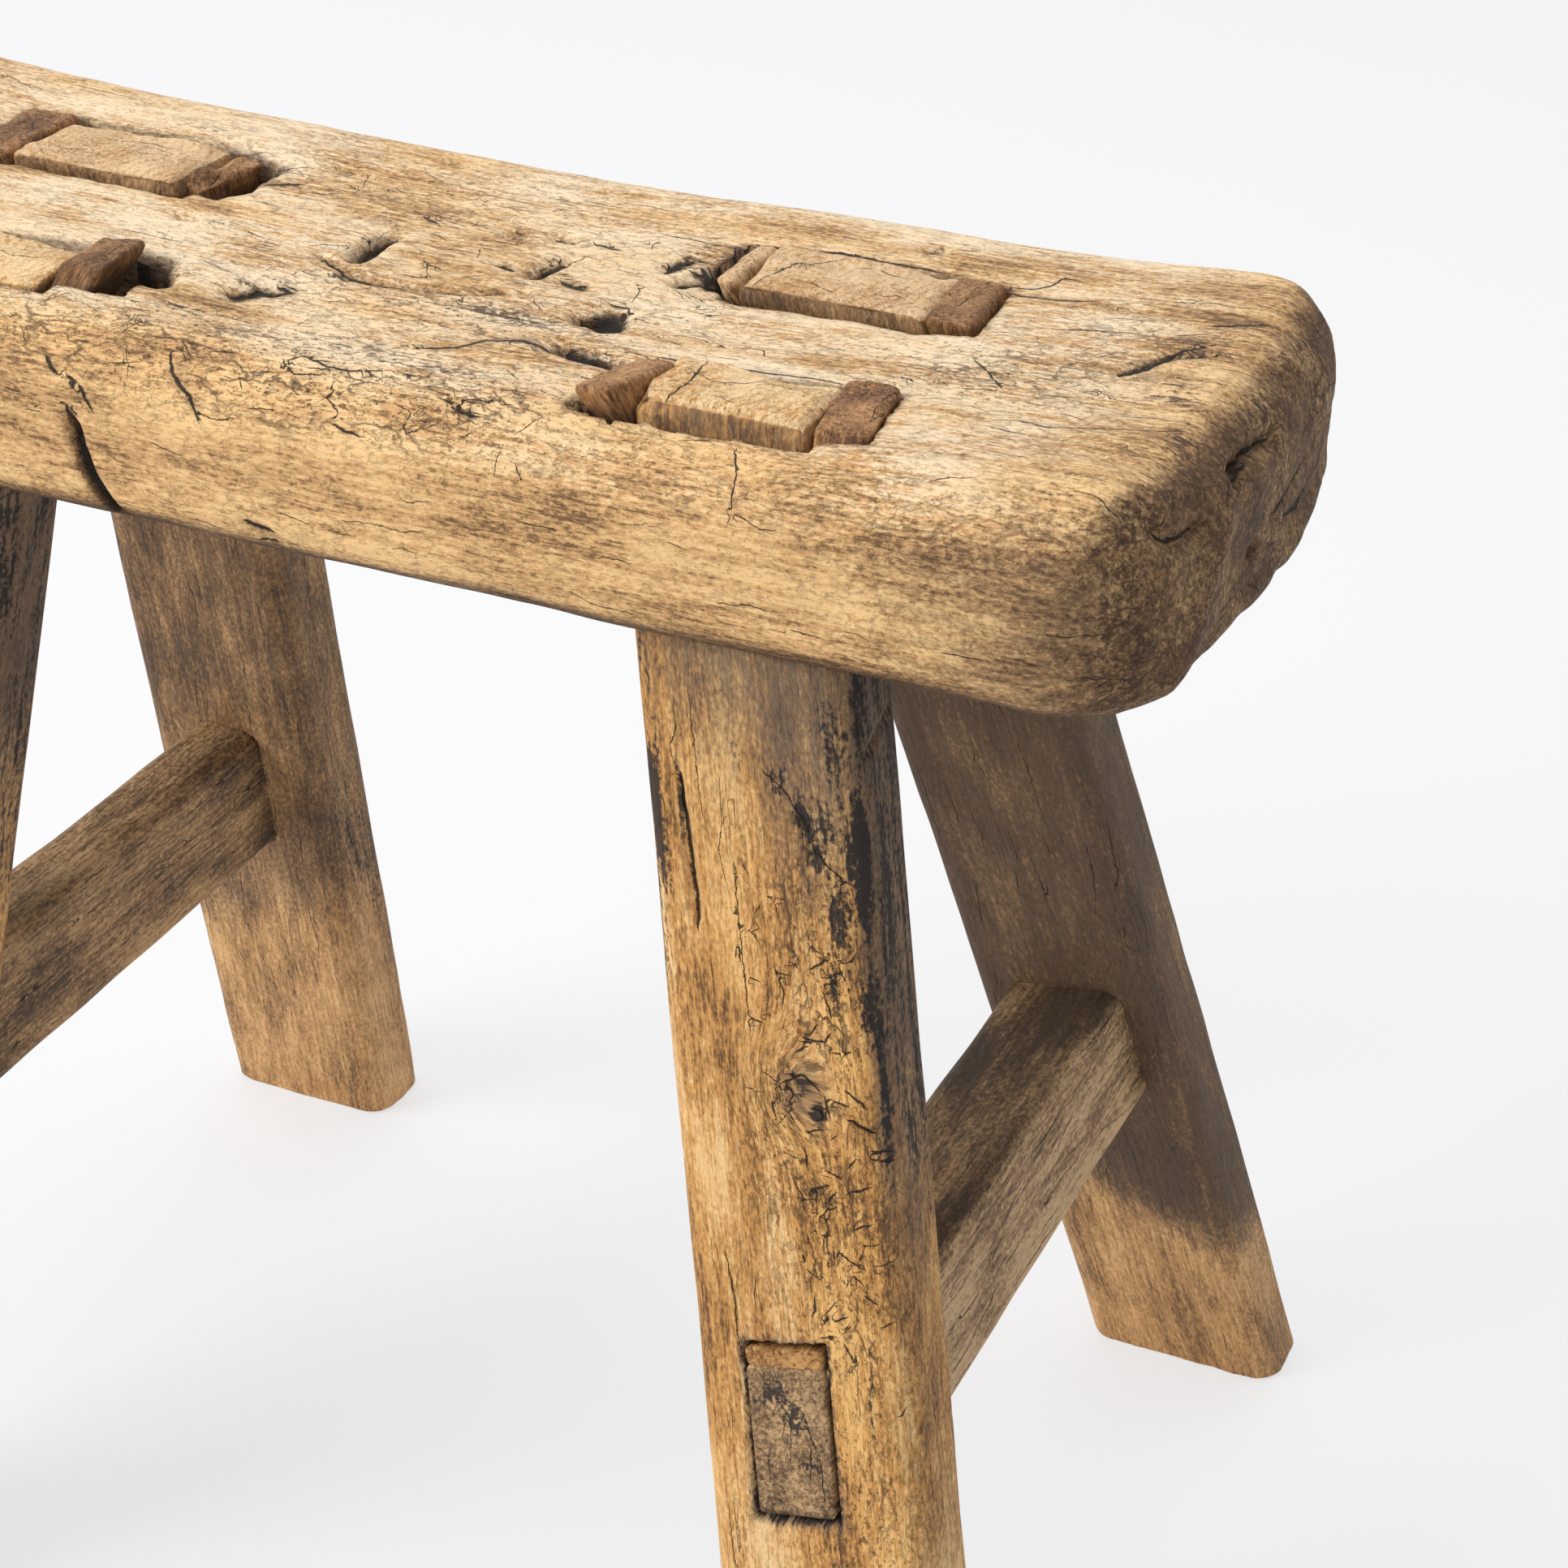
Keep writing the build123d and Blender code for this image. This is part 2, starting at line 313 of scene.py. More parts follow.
class Wiring:
    """Adds nodes to one tree."""

    def __init__(self, tree):
        self.tree = tree

    def fill(self, node, values):
        """Link or set a node's inputs, and give back all that the node puts out."""
        for name, value in values.items():
            if isinstance(value, Flow):
                self.tree.links.new(value.socket, node.inputs[name])
            else:
                node.inputs[name].default_value = value
        return {socket.name: Flow(self, socket) for socket in node.outputs}

    def add(self, kind, values, output=0, **settings):
        node = self.tree.nodes.new(kind)
        for name, setting in settings.items():
            setattr(node, name, setting)
        self.fill(node, values)
        return Flow(self, node.outputs[output])

    def split(self, vector):
        return self.fill(self.tree.nodes.new("ShaderNodeSeparateXYZ"), {0: vector}).values()

    def vector(self, operation, first, second=(0.0, 0.0, 0.0), output=0):
        values = {0: first, 1: second}
        return self.add("ShaderNodeVectorMath", values, output, operation=operation)

    def mix(self, share, first, second):
        values = {0: share, 6: first, 7: second}
        return self.add("ShaderNodeMix", values, 2, data_type="RGBA")

    def noise(self, place, along, across, detail, roughness=0.55, output=0):
        """Noise with so many waves per millimetre along the grain and across it. Output 0 is
        one value and output 1 is three."""
        stretched = self.vector("MULTIPLY", place, (along, across, across))
        values = {"Vector": stretched, "Scale": 1.0, "Detail": detail, "Roughness": roughness}
        return self.add("ShaderNodeTexNoise", values, output)


def weathered_wood_group():
    """Old bare wood. Place is along, across and through the grain in millimetres. Colour
    runs from Pale over Middle to Dark with fibres, growth rings and broad bands; stains,
    grime, flakes and open cracks lie over it. The bleaching inputs also carry painted light,
    the staining and grime inputs painted shade, and the gaps of cracks, pits, crazing seams
    and flake edges are painted dark as shade. Height is in millimetres."""
    group = bpy.data.node_groups.new("weathered_wood", "ShaderNodeTree")
    for direction, kind, labels in (
            ("INPUT", "Vector", ("Place", "Crack", "Weathering_and_shading", "Pith")),
            ("INPUT", "Float", ("Flaking", "Calm", "Ring Width", "Contrast", "Fibre Depth")),
            ("INPUT", "Color", ("Bleached", "Pale", "Middle", "Dark", "Stain", "Grime")),
            ("OUTPUT", "Color", ("Colour",)), ("OUTPUT", "Float", ("Height", "Roughness"))):
        for label in labels:
            group.interface.new_socket(label, in_out=direction, socket_type="NodeSocket" + kind)
    wire = Wiring(group)
    given = wire.fill(group.nodes.new("NodeGroupInput"), {})
    place, flaking, calm = given["Place"], given["Flaking"], given["Calm"]
    dark, grime_and_shade_colour = given["Dark"], given["Grime"]
    bleach, stain, grime = wire.split(given["Weathering_and_shading"])
    signed, away, half = wire.split(given["Crack"])
    bands = wire.noise(place, 0.009, 0.10, 3.0)
    patches = wire.noise(place, 0.035, 0.070, 4.0)
    fibres = wire.noise(place, 0.085, 0.95, 4.0, 0.62)
    hairs = wire.noise(place, 0.28, 2.3, 4.0, 0.66)
    specks = wire.noise(place, 0.75, 1.2, 4.0, 0.66)
    dashes = wire.noise(place, 0.26, 1.5, 3.0, 0.6).rise(0.60, 0.66) * patches.rise(0.40, 0.60)
    pits = (wire.noise(place, 0.55, 0.75, 2.0, 0.6) + 0.05 * flaking).rise(0.66, 0.72)
    pits = pits * (0.75 * flaking + 0.25)
    # Crazing: the seams between cells that are long with the grain
    drift = wire.noise(place, 0.10, 0.16, 3.0, 0.6, 1)
    cells = wire.vector("ADD", wire.vector("MULTIPLY", place, (0.085, 0.21, 0.21)),
                        wire.vector("MULTIPLY", drift, (1.6, 1.6, 1.6)))
    seams = wire.add("ShaderNodeTexVoronoi", {"Vector": cells, "Scale": 1.0},
                     feature="DISTANCE_TO_EDGE")
    crazed = wire.noise(place, 0.07, 0.13, 3.0).rise(0.42, 0.56)
    crazing = seams.fall(0.014, 0.065) * crazed * flaking
    # Growth rings round the pith, and the tone from pale to dark
    across = wire.vector("MULTIPLY", wire.vector("SUBTRACT", place, given["Pith"]),
                         (0.0, 1.0, 1.0))
    radius = wire.vector("LENGTH", across, output=1)
    rings = (radius + 9.0 * wire.noise(place, 0.012, 0.045, 3.0)) / given["Ring Width"]
    latewood = (rings * (2 * math.pi)).math("SINE").rise(0.1, 1.0)
    sway = (bands - 0.5) * 0.95
    for flow, weight in ((patches, 1.2), (fibres, 1.25), (hairs, 1.05), (specks, 1.15)):
        sway = sway + (flow - 0.5) * weight
    tone = sway * ((1.0 - calm * 0.45) * given["Contrast"]) + 0.5
    tone = tone + latewood * (calm * 0.06 + 0.09) - bleach * 0.30
    palest = wire.mix(bleach, given["Pale"], given["Bleached"])
    colour = wire.mix(tone.rise(0.08, 0.62), palest, given["Middle"])
    colour = wire.mix(tone.rise(0.55, 1.08), colour, dark)
    colour = wire.mix(dashes * 0.6, colour, dark)
    # Flakes that have lifted, with a dark edge painted as their shadow
    flake = wire.noise(place, 0.40, 0.85, 4.0, 0.6)
    flake_edge = abs(flake - 0.56).fall(0.0, 0.036) * specks.rise(0.42, 0.52) * flaking
    scaled = flake.rise(0.54, 0.58) * flaking
    colour = wire.mix(scaled * 0.20, colour, dark)
    colour = wire.mix(flake_edge * 0.80, colour, dark)
    # Stains and grime, which also carry painted shade, with borders ragged along the fibres
    ragged = wire.noise(place, 0.045, 0.42, 6.0, 0.66) - 0.5
    mottled = ragged * 0.9 + (patches - 0.5) * 0.55 + (specks - 0.5) * 0.85
    grime_and_shade_share = (grime + mottled).rise(0.06, 0.98) * grime.rise(0.0, 0.25)
    colour = wire.mix(grime_and_shade_share * 0.90, colour, grime_and_shade_colour)
    stained = stain + ragged * 2.2 + (specks - 0.5) * 1.5
    stained = stained.rise(0.38, 0.72) * stain.rise(0.04, 0.20)
    colour = wire.mix(stained * 0.93, colour, given["Stain"])
    # Open cracks, which wobble, with grime beside them and their gaps painted near black as shade
    wobble = wire.noise(place, 0.5, 0.5, 4.0, 0.65) - 0.5
    lateral = abs(signed + wobble * 1.3)
    gap = lateral.fall(half * 0.25, half + 0.05) * (away - half).fall(0.8, 1.2)
    gap = gap * half.rise(0.005, 0.05)
    halo = away.fall(0.2, 2.6) * half.rise(0.1, 0.7)
    colour = wire.mix(halo * 0.45, colour, grime_and_shade_colour)
    # Crazing seams and pits painted dark as shade in them
    broken = (crazing * 0.78).larger(pits * 0.70)
    colour = wire.mix(broken, colour, (0.045, 0.025, 0.014, 1.0))
    colour = wire.mix(gap * 0.98, colour, (0.012, 0.008, 0.005, 1.0))
    height = fibres * given["Fibre Depth"] + hairs * 0.13 + specks * 0.16 + latewood * 0.03
    height = height - dashes * 0.18 - scaled * 0.30 - broken * 0.30 - gap * 0.8
    rough = hairs * 0.22 + 0.50 + grime_and_shade_share * 0.12
    wire.fill(group.nodes.new("NodeGroupOutput"),
              {"Colour": colour, "Height": height, "Roughness": rough})
    return group


weathered_wood = weathered_wood_group()


def wood_material(name, pith, ring_width, contrast, fibre_depth, **colours):
    """Material of one kind of old wood. The piece's own marks say where on it a point is."""
    material = bpy.data.materials.new(name)
    material.use_nodes = True
    wire = Wiring(material.node_tree)
    values = {label.capitalize(): (*colour, 1.0) for label, colour in colours.items()}
    values |= {"Pith": (0.0, *pith), "Ring Width": ring_width, "Contrast": contrast,
               "Fibre Depth": fibre_depth}
    for label, mark, output in (("Place", "grain_place", "Vector"), ("Weathering_and_shading", "weathering_and_shading", "Vector"),
                                ("Crack", "crack_field", "Vector"),
                                ("Flaking", "flaking", "Fac"), ("Calm", "calm", "Fac")):
        values[label] = wire.add("ShaderNodeAttribute", {}, output, attribute_name=mark)
    wood = wire.tree.nodes.new("ShaderNodeGroup")
    wood.node_tree = weathered_wood
    look = wire.fill(wood, values)
    bump = wire.add("ShaderNodeBump", {"Height": look["Height"], "Strength": 1.0,
                                       "Distance": millimetre})
    wire.fill(wire.tree.nodes["Principled BSDF"], {
        "Base Color": look["Colour"], "Roughness": look["Roughness"], "Normal": bump,
        "Specular IOR Level": 0.28})
    return material


# The seat's stain and grime colours also paint its shade: under it, on its ends and in crevices
# and gouges
seat_wood = wood_material(
    "seat_wood", pith=(10.0, 170.0), ring_width=5.0, contrast=1.40, fibre_depth=0.50,
    bleached=(0.98, 0.775, 0.515), pale=(0.95, 0.620, 0.282), middle=(0.71, 0.410, 0.168),
    dark=(0.23, 0.118, 0.050), stain=(0.100, 0.052, 0.027), grime=(0.096, 0.052, 0.029))

# Where the mortises open in the seat: centre, half sizes and turn of each worn pocket
pockets = (
    (83.0, -35.3, 17.9, 12.3), (60.9, -38.2, 5.0, 9.7, -14.0), (103.6, -33.0, 5.9, 11.2, 7.0),
    (77.2, 23.4, 20.9, 13.0), (102.0, 22.8, 6.0, 12.2, 5.0), (54.2, 25.5, 3.6, 11.2, 4.0),
    (-86.6, 24.0, 21.4, 13.8), (-113.6, 24.2, 7.2, 13.8), (-63.0, 25.0, 6.4, 10.5, -12.0),
    (-78.5, -33.0, 18.0, 10.9), (-53.6, -29.6, 6.6, 9.6, 6.0), (-100.8, -33.0, 6.2, 10.6))
pocket_depth = 9.0
pocket_blend = 0.9
# Gouges: width, depth, and the points of a bent line. Cracks: half width, and such points
top_gouges = (
    (2.6, 3.8, 38, -9, 41, -5, 43, -10), (2.0, 3.6, -17, -1, -18, 7, -17, 12),
    (1.4, 1.3, -24, -3, -13, -10, -6, -10, 2, -9, 9, -8, 20, -2),
    (3.4, 1.9, -29, -27, -26, -22, -21, -20), (2.2, 1.7, 18, 7, 19, 13, 20, 17),
    (1.3, 1.0, 141.5, 3, 145, 7.5, 147.5, 13.5), (1.6, 2.4, 84, 48, 87, 48.5),
    (2.2, 3.0, 40, -24, 46, -26, 53, -27, 58, -28), (1.8, 1.6, 3, 24, 5, 24.5),
    (1.8, 1.6, -44, 38, -42, 38.5), (1.8, 1.5, -27, 53, -25, 53), (1.6, 1.4, -59, 1, -57, 1),
    (2.4, 4.0, -55, -20, -49, -23, -44, -29), (3.0, 3.2, -58, 21, -61, 31, -72, 37),
    (2.0, 1.7, 41, 20, 43, 26, 46, 27), (2.2, 2.2, 46, 15, 48.5, 18.5, 52, 18),
    (1.2, 2.4, 49.8, 24, 52.3, 17.5), (1.4, 1.2, 49.4, 32, 49.8, 30.5),
    (1.8, 1.5, 12, 27, 16, 26.5), (1.7, 1.4, 24, 7, 30, 5), (1.6, 1.3, 8, 9.5, 13, 8.5))
top_cracks = (
    (0.22, 31, 36, 40, 35, 48, 34, 51, 38), (0.45, 51, 38, 70, 38.6, 92, 38),
    (0.4, 104, 37, 110, 33, 118, 33, 125, 35), (0.18, 145, 22, 151, 25),
    (0.26, 106, 37, 111, 37, 114, 40, 115, 44, 119, 43), (0.2, 119, 19, 126, 20, 135, 21, 140, 21),
    (0.5, 150, 28.5, 156, 30, 160, 33), (0.16, 69, -10, 75, -9, 77, -13),
    (0.14, 103, -14, 113, -12), (0.16, 117, -14, 125, -13), (0.22, 114, -1, 119, -6, 124, -12),
    (0.18, 89, -51, 91, -55), (0.26, 129, -27, 133, -26, 138, -27, 146, -25, 161, -19),
    (0.35, 56, -25, 60, -21.5, 75, -20.5, 96, -20),
    (0.45, -24, -3, -13, -10, -6, -10, 2, -9, 9, -8, 20, -2),
    (0.3, -3, -51, 0, -48, 6, -50, 11, -50, 17, -48), (0.18, -3, -51, 1, -53, 6, -52),
    (0.16, -18, -52, -13, -51), (0.14, 9, -53, 10, -56, 13, -58), (3.0, 37, -9, 41, -4, 44, -8),
    (0.5, 16, -36, 23, -33, 27, -28, 33, -25, 40, -26, 51, -28), (2.0, -17, -2, -18, 7, -17, 13),
    (1.2, -30, -27, -26, -22, -20, -19), (1.2, 18, 7, 19, 13, 20, 17),
    (1.5, 141, 2, 145, 7.5, 148, 14.5), (0.45, 147, 13, 150, 16, 153.5, 20), (1.2, 84, 48, 87, 49),
    (0.4, 147.5, 10.5, 152, 13, 156.5, 16.5), (1.9, 41, -23, 46, -25, 53, -27),
    (1.4, -56, -19, -49, -22, -44, -27), (0.8, -13, -10, -9, -10), (0.6, 3, 24, 5, 24.5),
    (0.6, -44, 38, -42, 38.5), (1.5, 40.5, 20, 42.5, 25.5, 46.5, 27),
    (1.5, 45, 14.5, 48.5, 18, 53, 17.5), (0.8, 47, 22, 50.5, 19), (0.9, 49.6, 25, 52.6, 17),
    (0.7, 49.2, 32.5, 50, 30.5), (1.4, -58, 19, -60, 30, -71, 37), (0.7, -54, 23, -47, 27),
    (0.8, 12, 27, 16, 26.5), (0.5, 21, 26, 28, 24.5), (0.7, 8, 9.5, 13, 8.5), (0.8, 24, 7, 30, 5),
    (0.5, -16, 23, -12, 22), (0.6, -17, -10, -12, -13))
front_gouges = (
    (1.15, 3.2, -43, 278, -41, 269, -37, 262, -34, 252), (1.2, 1.2, -7, 265, -1, 263),
    (1.6, 1.6, 144, 289, 146, 289))
front_cracks = (
    (1.7, -43.5, 281, -41.5, 269, -37.5, 262, -32, 244), (0.6, -7, 265, -1, 263),
    (0.14, 91, 296, 92, 290, 93, 285), (0.45, -50, 288.5, -48, 287, -46, 286),
    (0.35, -44, 286, -41, 285, -38, 281), (0.2, 34.5, 292.2, 40.5, 292),
    (0.42, -25, 292, -22, 289, -18, 287, -15, 283), (0.26, 12, 287.4, 15, 286.4, 19, 286))
end_gouges = (
    (1.8, 1.6, -46, 292, -44, 289, -38, 288, -34, 288), (1.6, 2.2, -8, 272, -6, 271.5),
    (1.6, 0.7, 28, 277, 3, 274), (1.9, 3.0, 4, 290, -7, 292, -15, 291.5, -20, 289),
    (1.8, 0.7, 42, 267, 12, 270), (1.5, 0.5, 32, 289, 32, 277))
end_cracks = (
    (0.4, -46, 292, -44, 289, -38, 288, -34, 288), (0.5, -9, 272.5, -6, 271.5),
    (0.6, 4, 290, -7, 292, -15, 291.5, -20, 289), (0.35, 30, 278, 14, 275, 2, 274),
    (0.45, 38, 277, 38, 271, 22, 268, 8, 271))
# The worn arris where the front corner meets the end grain, in y and z, and how far the
# arris and the foot below it stand out and the end between them lies back
end_arris = ((-19, 294), (-24, 288), (-26, 283), (-30, 279), (-34, 275), (-36, 271), (-43, 262))
end_arris_height = 1.7
end_foot_height = 1.7
end_hollow_depth = 1.6
# Broad places of the top, each x, y, half sizes and depth or strength
seat_hollows = (
    (80, -54, 32, 9, 1.4), (-78, -52, 34, 10, 1.2), (5, 0, 60, 34, 0.8), (60, -6, 22, 14, 0.9),
    (-20, -30, 26, 16, 0.8))
seat_stains = (
    (24, -15, 18, 6, 0.55), (-25, -23, 7, 5, 0.62), (19, 12, 5, 7, 0.5), (44, -8, 7, 7, 0.5),
    (47, -26, 11, 4, 0.6), (45, 27, 9, 10, 0.55), (-52, -24, 9, 7, 0.5), (-66, 32, 9, 8, 0.5),
    (150, 14, 9, 12, 0.42), (86, 48, 5, 4, 0.5), (154, -4, 9, 8, 0.5), (162, -22, 6, 10, 0.5),
    (158, -56, 8, 5, 0.5), (150, -50, 7, 6, 0.35))
seat_crazing = (
    (4, -48, 52, 15, 1.0), (16, -18, 44, 14, 0.75), (-70, -50, 44, 12, 0.7),
    (118, -6, 24, 18, 0.7), (-20, 34, 50, 16, 0.5), (140, 18, 16, 14, 0.5))


def seat_surface(x):
    """Height of the worn seat top."""
    return seat_top - seat_wear_dip * (1 - (x / seat_half_length) ** 2)


def seat_loops():
    """Stations from the left end to the right: rings that open over the end face, a quarter
    turn round its corner, the straight length, and the same again at the right end. Every
    station is a rounded rectangle, drawn in near the ends by the fillets' insets."""
    end = seat_half_length
    opening = np.linspace(0.04, 1, 24)[:-1]
    edge = seat_corner * (1 - np.cos(np.linspace(0, quarter_turn, 27)[:-1]))
    pocket_edges = (-120, -107, -66, -58, -48, -38, 45, 57, 66, 98, 109)
    middle = graded(seat_corner - end, end - seat_corner, pocket_edges, 4.0)
    x, shrink = columns((-end, opening), (edge - end, 1.0), (middle, 1.0),
                        (end - edge[::-1], 1.0), (end, opening[::-1]))
    depth = end - np.abs(x)
    inset = fillet_inset(depth, seat_corner)
    low = np.stack((seat_front + inset,
                    seat_bottom + fillet_inset(depth, seat_end_bottom_rounding)), 1)
    high = np.stack((seat_rear - inset,
                     seat_surface(x) - fillet_inset(depth, seat_end_top_rounding)), 1)
    height = (high - low)[:, 1]
    fit = np.minimum(1, 0.98 * height / (seat_edge_radii[0] + seat_edge_radii[3]))
    flat_front = seat_front + seat_edge_radii[3]
    flat_rear = seat_rear - seat_edge_radii[2]
    top_y = graded(flat_front, flat_rear, (-47.5, -23, 10.5, 36.5), 4.0)[1:-1]
    top_shares = (flat_rear - top_y[::-1]) / (flat_rear - flat_front)
    shares = inner_shares(38), inner_shares(17), top_shares, inner_shares(17)
    loops = rounded_loops(low, high, np.array(seat_edge_radii) * fit[:, None], shares,
                          (10, 6, 14, 20))
    centre = ((low + high) / 2)[:, None]
    loops = centre + (loops - centre) * shrink[:, None, None]
    off = (loops[:, :, 0] - seat_middle_y) / seat_half_depth
    outward = np.sign(x) * smooth(np.abs(x), 120, end)
    bulge = seat_end_crown * (1 - shrink ** 2)[:, None] - seat_end_bulge * off ** 2
    return np.concatenate(((x[:, None] + outward[:, None] * bulge)[:, :, None], loops), 2)


base = seat_loops()
place, facing, cracks = unrolled(base)
x, y, z = place.T
facing_x, facing_y, facing_z = facing.T
plan, front_view, end_view = place[:, :2], place[:, [0, 2]], place[:, 1:]
on_top, on_front, on_right = facing_z > 0.35, facing_y < -0.5, facing_x > 0.5
near_end = smooth(np.abs(x), 130, 165)
from_above = smooth(facing_z, 0.2, 0.85)
lift = 0.9 * waves(place, (60, 38, 38), 1) + 0.4 * waves(place, (24, 9, 9), 2)
lift += (0.14 + 0.10 * near_end) * waves(place, (8, 2.6, 2.6), 3)
lift += near_end * (0.42 * waves(place, 15, 4) + 0.22 * waves(place, 5, 5))
for broad in seat_hollows:
    lift -= from_above * blobs(plan, (broad,))
apart = np.maximum([box_distance(plan, *pocket) for pocket in pockets], -6.0)
rim = -pocket_blend * np.log(np.exp(-apart / pocket_blend).sum(axis=0))
rim = np.where(on_top, rim + 0.35 * waves(place, (3.5, 3.5, 30), 6), far)
past_arris, _, arris_share = line_distance(end_view, np.array(end_arris))
arris = np.maximum(1 - past_arris / 7, 0) * smooth(arris_share, 0, 0.12)
end_flat = smooth(y, -30, -18) * (1 - smooth(y, 30, 52))
end_hollow = end_flat * smooth(z, 262, 270) * (1 - smooth(z, 277, 287))
end_foot = (1 - smooth(z, 261, 275)) * smooth(y, -34, 6) * (1 - smooth(y, 24, 48))
lift += smooth(x, 158, 169) * (end_arris_height * arris - end_hollow_depth * end_hollow
                               + end_foot_height * end_foot)
sunk = pocket_depth * (1 - smooth(rim, -0.5, 0.35))
worn_lip = 0.9 * fade(rim, 2.6) * (1 + 0.7 * waves(place, 7, 7))
hollow = strongest(dent(plan, on_top, top_gouges), dent(front_view, on_front, front_gouges),
                   dent(end_view, on_right, end_gouges))
lift -= np.maximum(sunk, worn_lip) + hollow * (1 + 0.45 * waves(place, (3.0, 1.8, 1.8), 8))
dice = np.random.default_rng(11)
strewn_top = [line for spread in (
    (190, (-165, -55), (160, 62), (3, 14), (0.02, 0.12), 0.12),
    (46, (-60, -60), (60, -34), (2, 7), (0.03, 0.11), 0.8),
    (80, (-60, -28), (60, 40), (2, 9), (0.03, 0.17), 0.6),
    (26, (98, -24), (140, 10), (2, 8), (0.03, 0.12), 0.7))
    for line in scattered_cracks(dice, *spread)]
strewn_side = scattered_cracks(dice, 55, (-168, 260), (165, 292), (3, 14), (0.02, 0.10), 0.05)
strewn_end = scattered_cracks(dice, 22, (-40, 262), (56, 290), (4, 16), (0.05, 0.22), 0.5)
draw_cracks(cracks, plan, on_top, top_cracks, strewn_top)
draw_cracks(cracks, front_view, on_front, front_cracks, strewn_side)
draw_cracks(cracks, front_view, facing_y > 0.6, strewn_side)
draw_cracks(cracks, end_view, on_right, end_cracks, strewn_end)
draw_cracks(cracks, end_view, facing_x < -0.5, strewn_end)
# Sun-bleaching of the top, which also paints it paler as light from above falls on it
bleach = 0.78 + 0.50 * waves(place, (30, 11, 11), 9) - 0.45 * smooth(-y, 38, 54)
bleach = np.clip(from_above * bleach, 0, 1) * (1 - 0.85 * smooth(np.abs(x), 128, 166))
outward = facing_x * np.sign(x)
# The end faces, which turn from the lamps, painted darker as shade, blotchy like staining
end_stain = near_end * smooth(outward, 0.25, 0.7) * (0.30 + 0.30 * waves(place, 9, 10))
# Stains on the top, with painted shade on the ends and under the seat
stain = strongest(from_above * blobs(plan, seat_stains), end_stain,
                  0.85 * smooth(-facing_z, 0.50, 0.85))
# Grime with painted shade: in the crevices round the tenons and in gouges, under the seat and on
# the ends; towards the ends' front corners partly brown staining and partly painted shade
grime = strongest(0.85 * fade(rim, 1.5) + 0.34 * np.clip(hollow, 0, 2.5),
                  0.95 * smooth(-facing_z, 0.25, 0.75),
                  (0.75 + 0.16 * waves(place, 12, 12)) * smooth(outward, -0.10, 0.75),
                  0.77 * smooth(np.abs(x), 92, 166) * (1 - 0.60 * from_above))
flaking = 0.30 * smooth(-facing_y, 0.3, 0.9) + 0.7 * near_end * smooth(np.abs(facing_x), 0.3, 0.9)
flaking += from_above * (0.34 + 0.80 * blobs(plan, seat_crazing))
surface = place + facing * lift[:, None]
put_piece("seat", "seat_wood", seat_wood, base, surface, surface, cracks,
          (bleach, stain, grime), np.clip(flaking, 0, 1))

# Legs: four bars of straight-grained wood, splayed both ways. Each is cut down to a tenon at
# its top, which stands a little proud of the worn seat, and is sawn level at the floor. The
# front ones are golden and stained black along their arrises; the rear ones are painted
# darker above their feet as shade under the seat.
leg_top_x = {"right": 90.0, "left": -88.0}
leg_top_y = {"front": -43.0, "rear": 35.0}
foot_x = {"right": 142.5, "left": -113.0}
foot_y = {"right": 101.0, "left": 107.5}
leg_width = (48.5, 45.0)
leg_thickness = {"front": (22.0, 22.0), "rear": (22.0, 26.0)}
leg_edge = 6.5
foot_edge = 0.9
tenon_width = {"front": 34.0, "rear": 40.0}
tenon_thickness = {"front": 19.5, "rear": 23.5}
tenon_drift = {"front_right": 0.5, "front_left": 6.0, "rear_right": -5.0, "rear_left": -5.0}
tenon_proud = {"front_right": 2.3, "front_left": 0.4, "rear_right": 1.4, "rear_left": 1.2}
tenon_edge = 2.2
# Worn places of each tenon's top: across, through, half sizes and depth
tenon_wear = {
    "front_right": ((-17, -10, 6, 5, 2.2), (8, 9, 14, 4, 1.2), (16, -10, 5, 3, 1.0),
                    (-4, -11, 4, 2, 0.8)),
    "front_left": ((-4, -9, 14, 5, 1.2), (12, 8, 8, 4, 0.8)),
    "rear_right": ((-19, -6, 5, 9, 1.8), (4, -12, 12, 3, 1.4), (15, 10, 7, 4, 1.0)),
    "rear_left": ((12, -12, 10, 4, 1.4), (-12, 10, 9, 4, 1.0), (19, 3, 3, 9, 1.2))}
stretcher_height = {"right": 108.0, "left": 121.0}
stretcher_tenon = {"right": (16.0, 30.0), "left": (13.0, 30.0)}
stretcher_tenon_inset = 2.6
key_head = 3.6
mortise_depth = 5.0
row_sign = {"front": -1.0, "rear": 1.0}
side_sign = {"right": 1.0, "left": -1.0}
posts = [(side, row) for side in ("right", "left") for row in ("front", "rear")]


def leg_axis(side, row, z):
    """The middle of a leg at a height: a straight line from its foot, also past the seat's
    underside."""
    rise = z / seat_bottom
    floor_y = row_sign[row] * foot_y[side]
    x = foot_x[side] + (leg_top_x[side] - foot_x[side]) * rise
    return np.stack((x, floor_y + (leg_top_y[row] - floor_y) * rise), -1)


def tenon_axis(side, row, z):
    """The same with the tenon, which drifts aside evenly on its way through the seat."""
    centre = leg_axis(side, row, z)
    through_seat = np.clip((z - seat_bottom) / (seat_top - seat_bottom), 0, None)
    centre[..., 0] += tenon_drift[f"{row}_{side}"] * through_seat
    return centre


def leg_half_thickness(row, z):
    """Half the leg's thickness at a height, by even taper."""
    floor_size, top_size = leg_thickness[row]
    return (floor_size + (top_size - floor_size) * z / seat_bottom) / 2


def bar_loops(half, radius, shrink, sides, turn):
    """Loops round a bar's own axis: rectangles of the given half sizes with rounded edges,
    drawn in by shrink. Sides says how finely the two kinds of side are cut."""
    shares = [inner_shares(steps) for steps in sides] * 2
    radii = np.repeat(radius[:, None], 4, 1)
    return rounded_loops(-half, half, radii, shares, (turn,) * 4) * shrink[:, None, None]


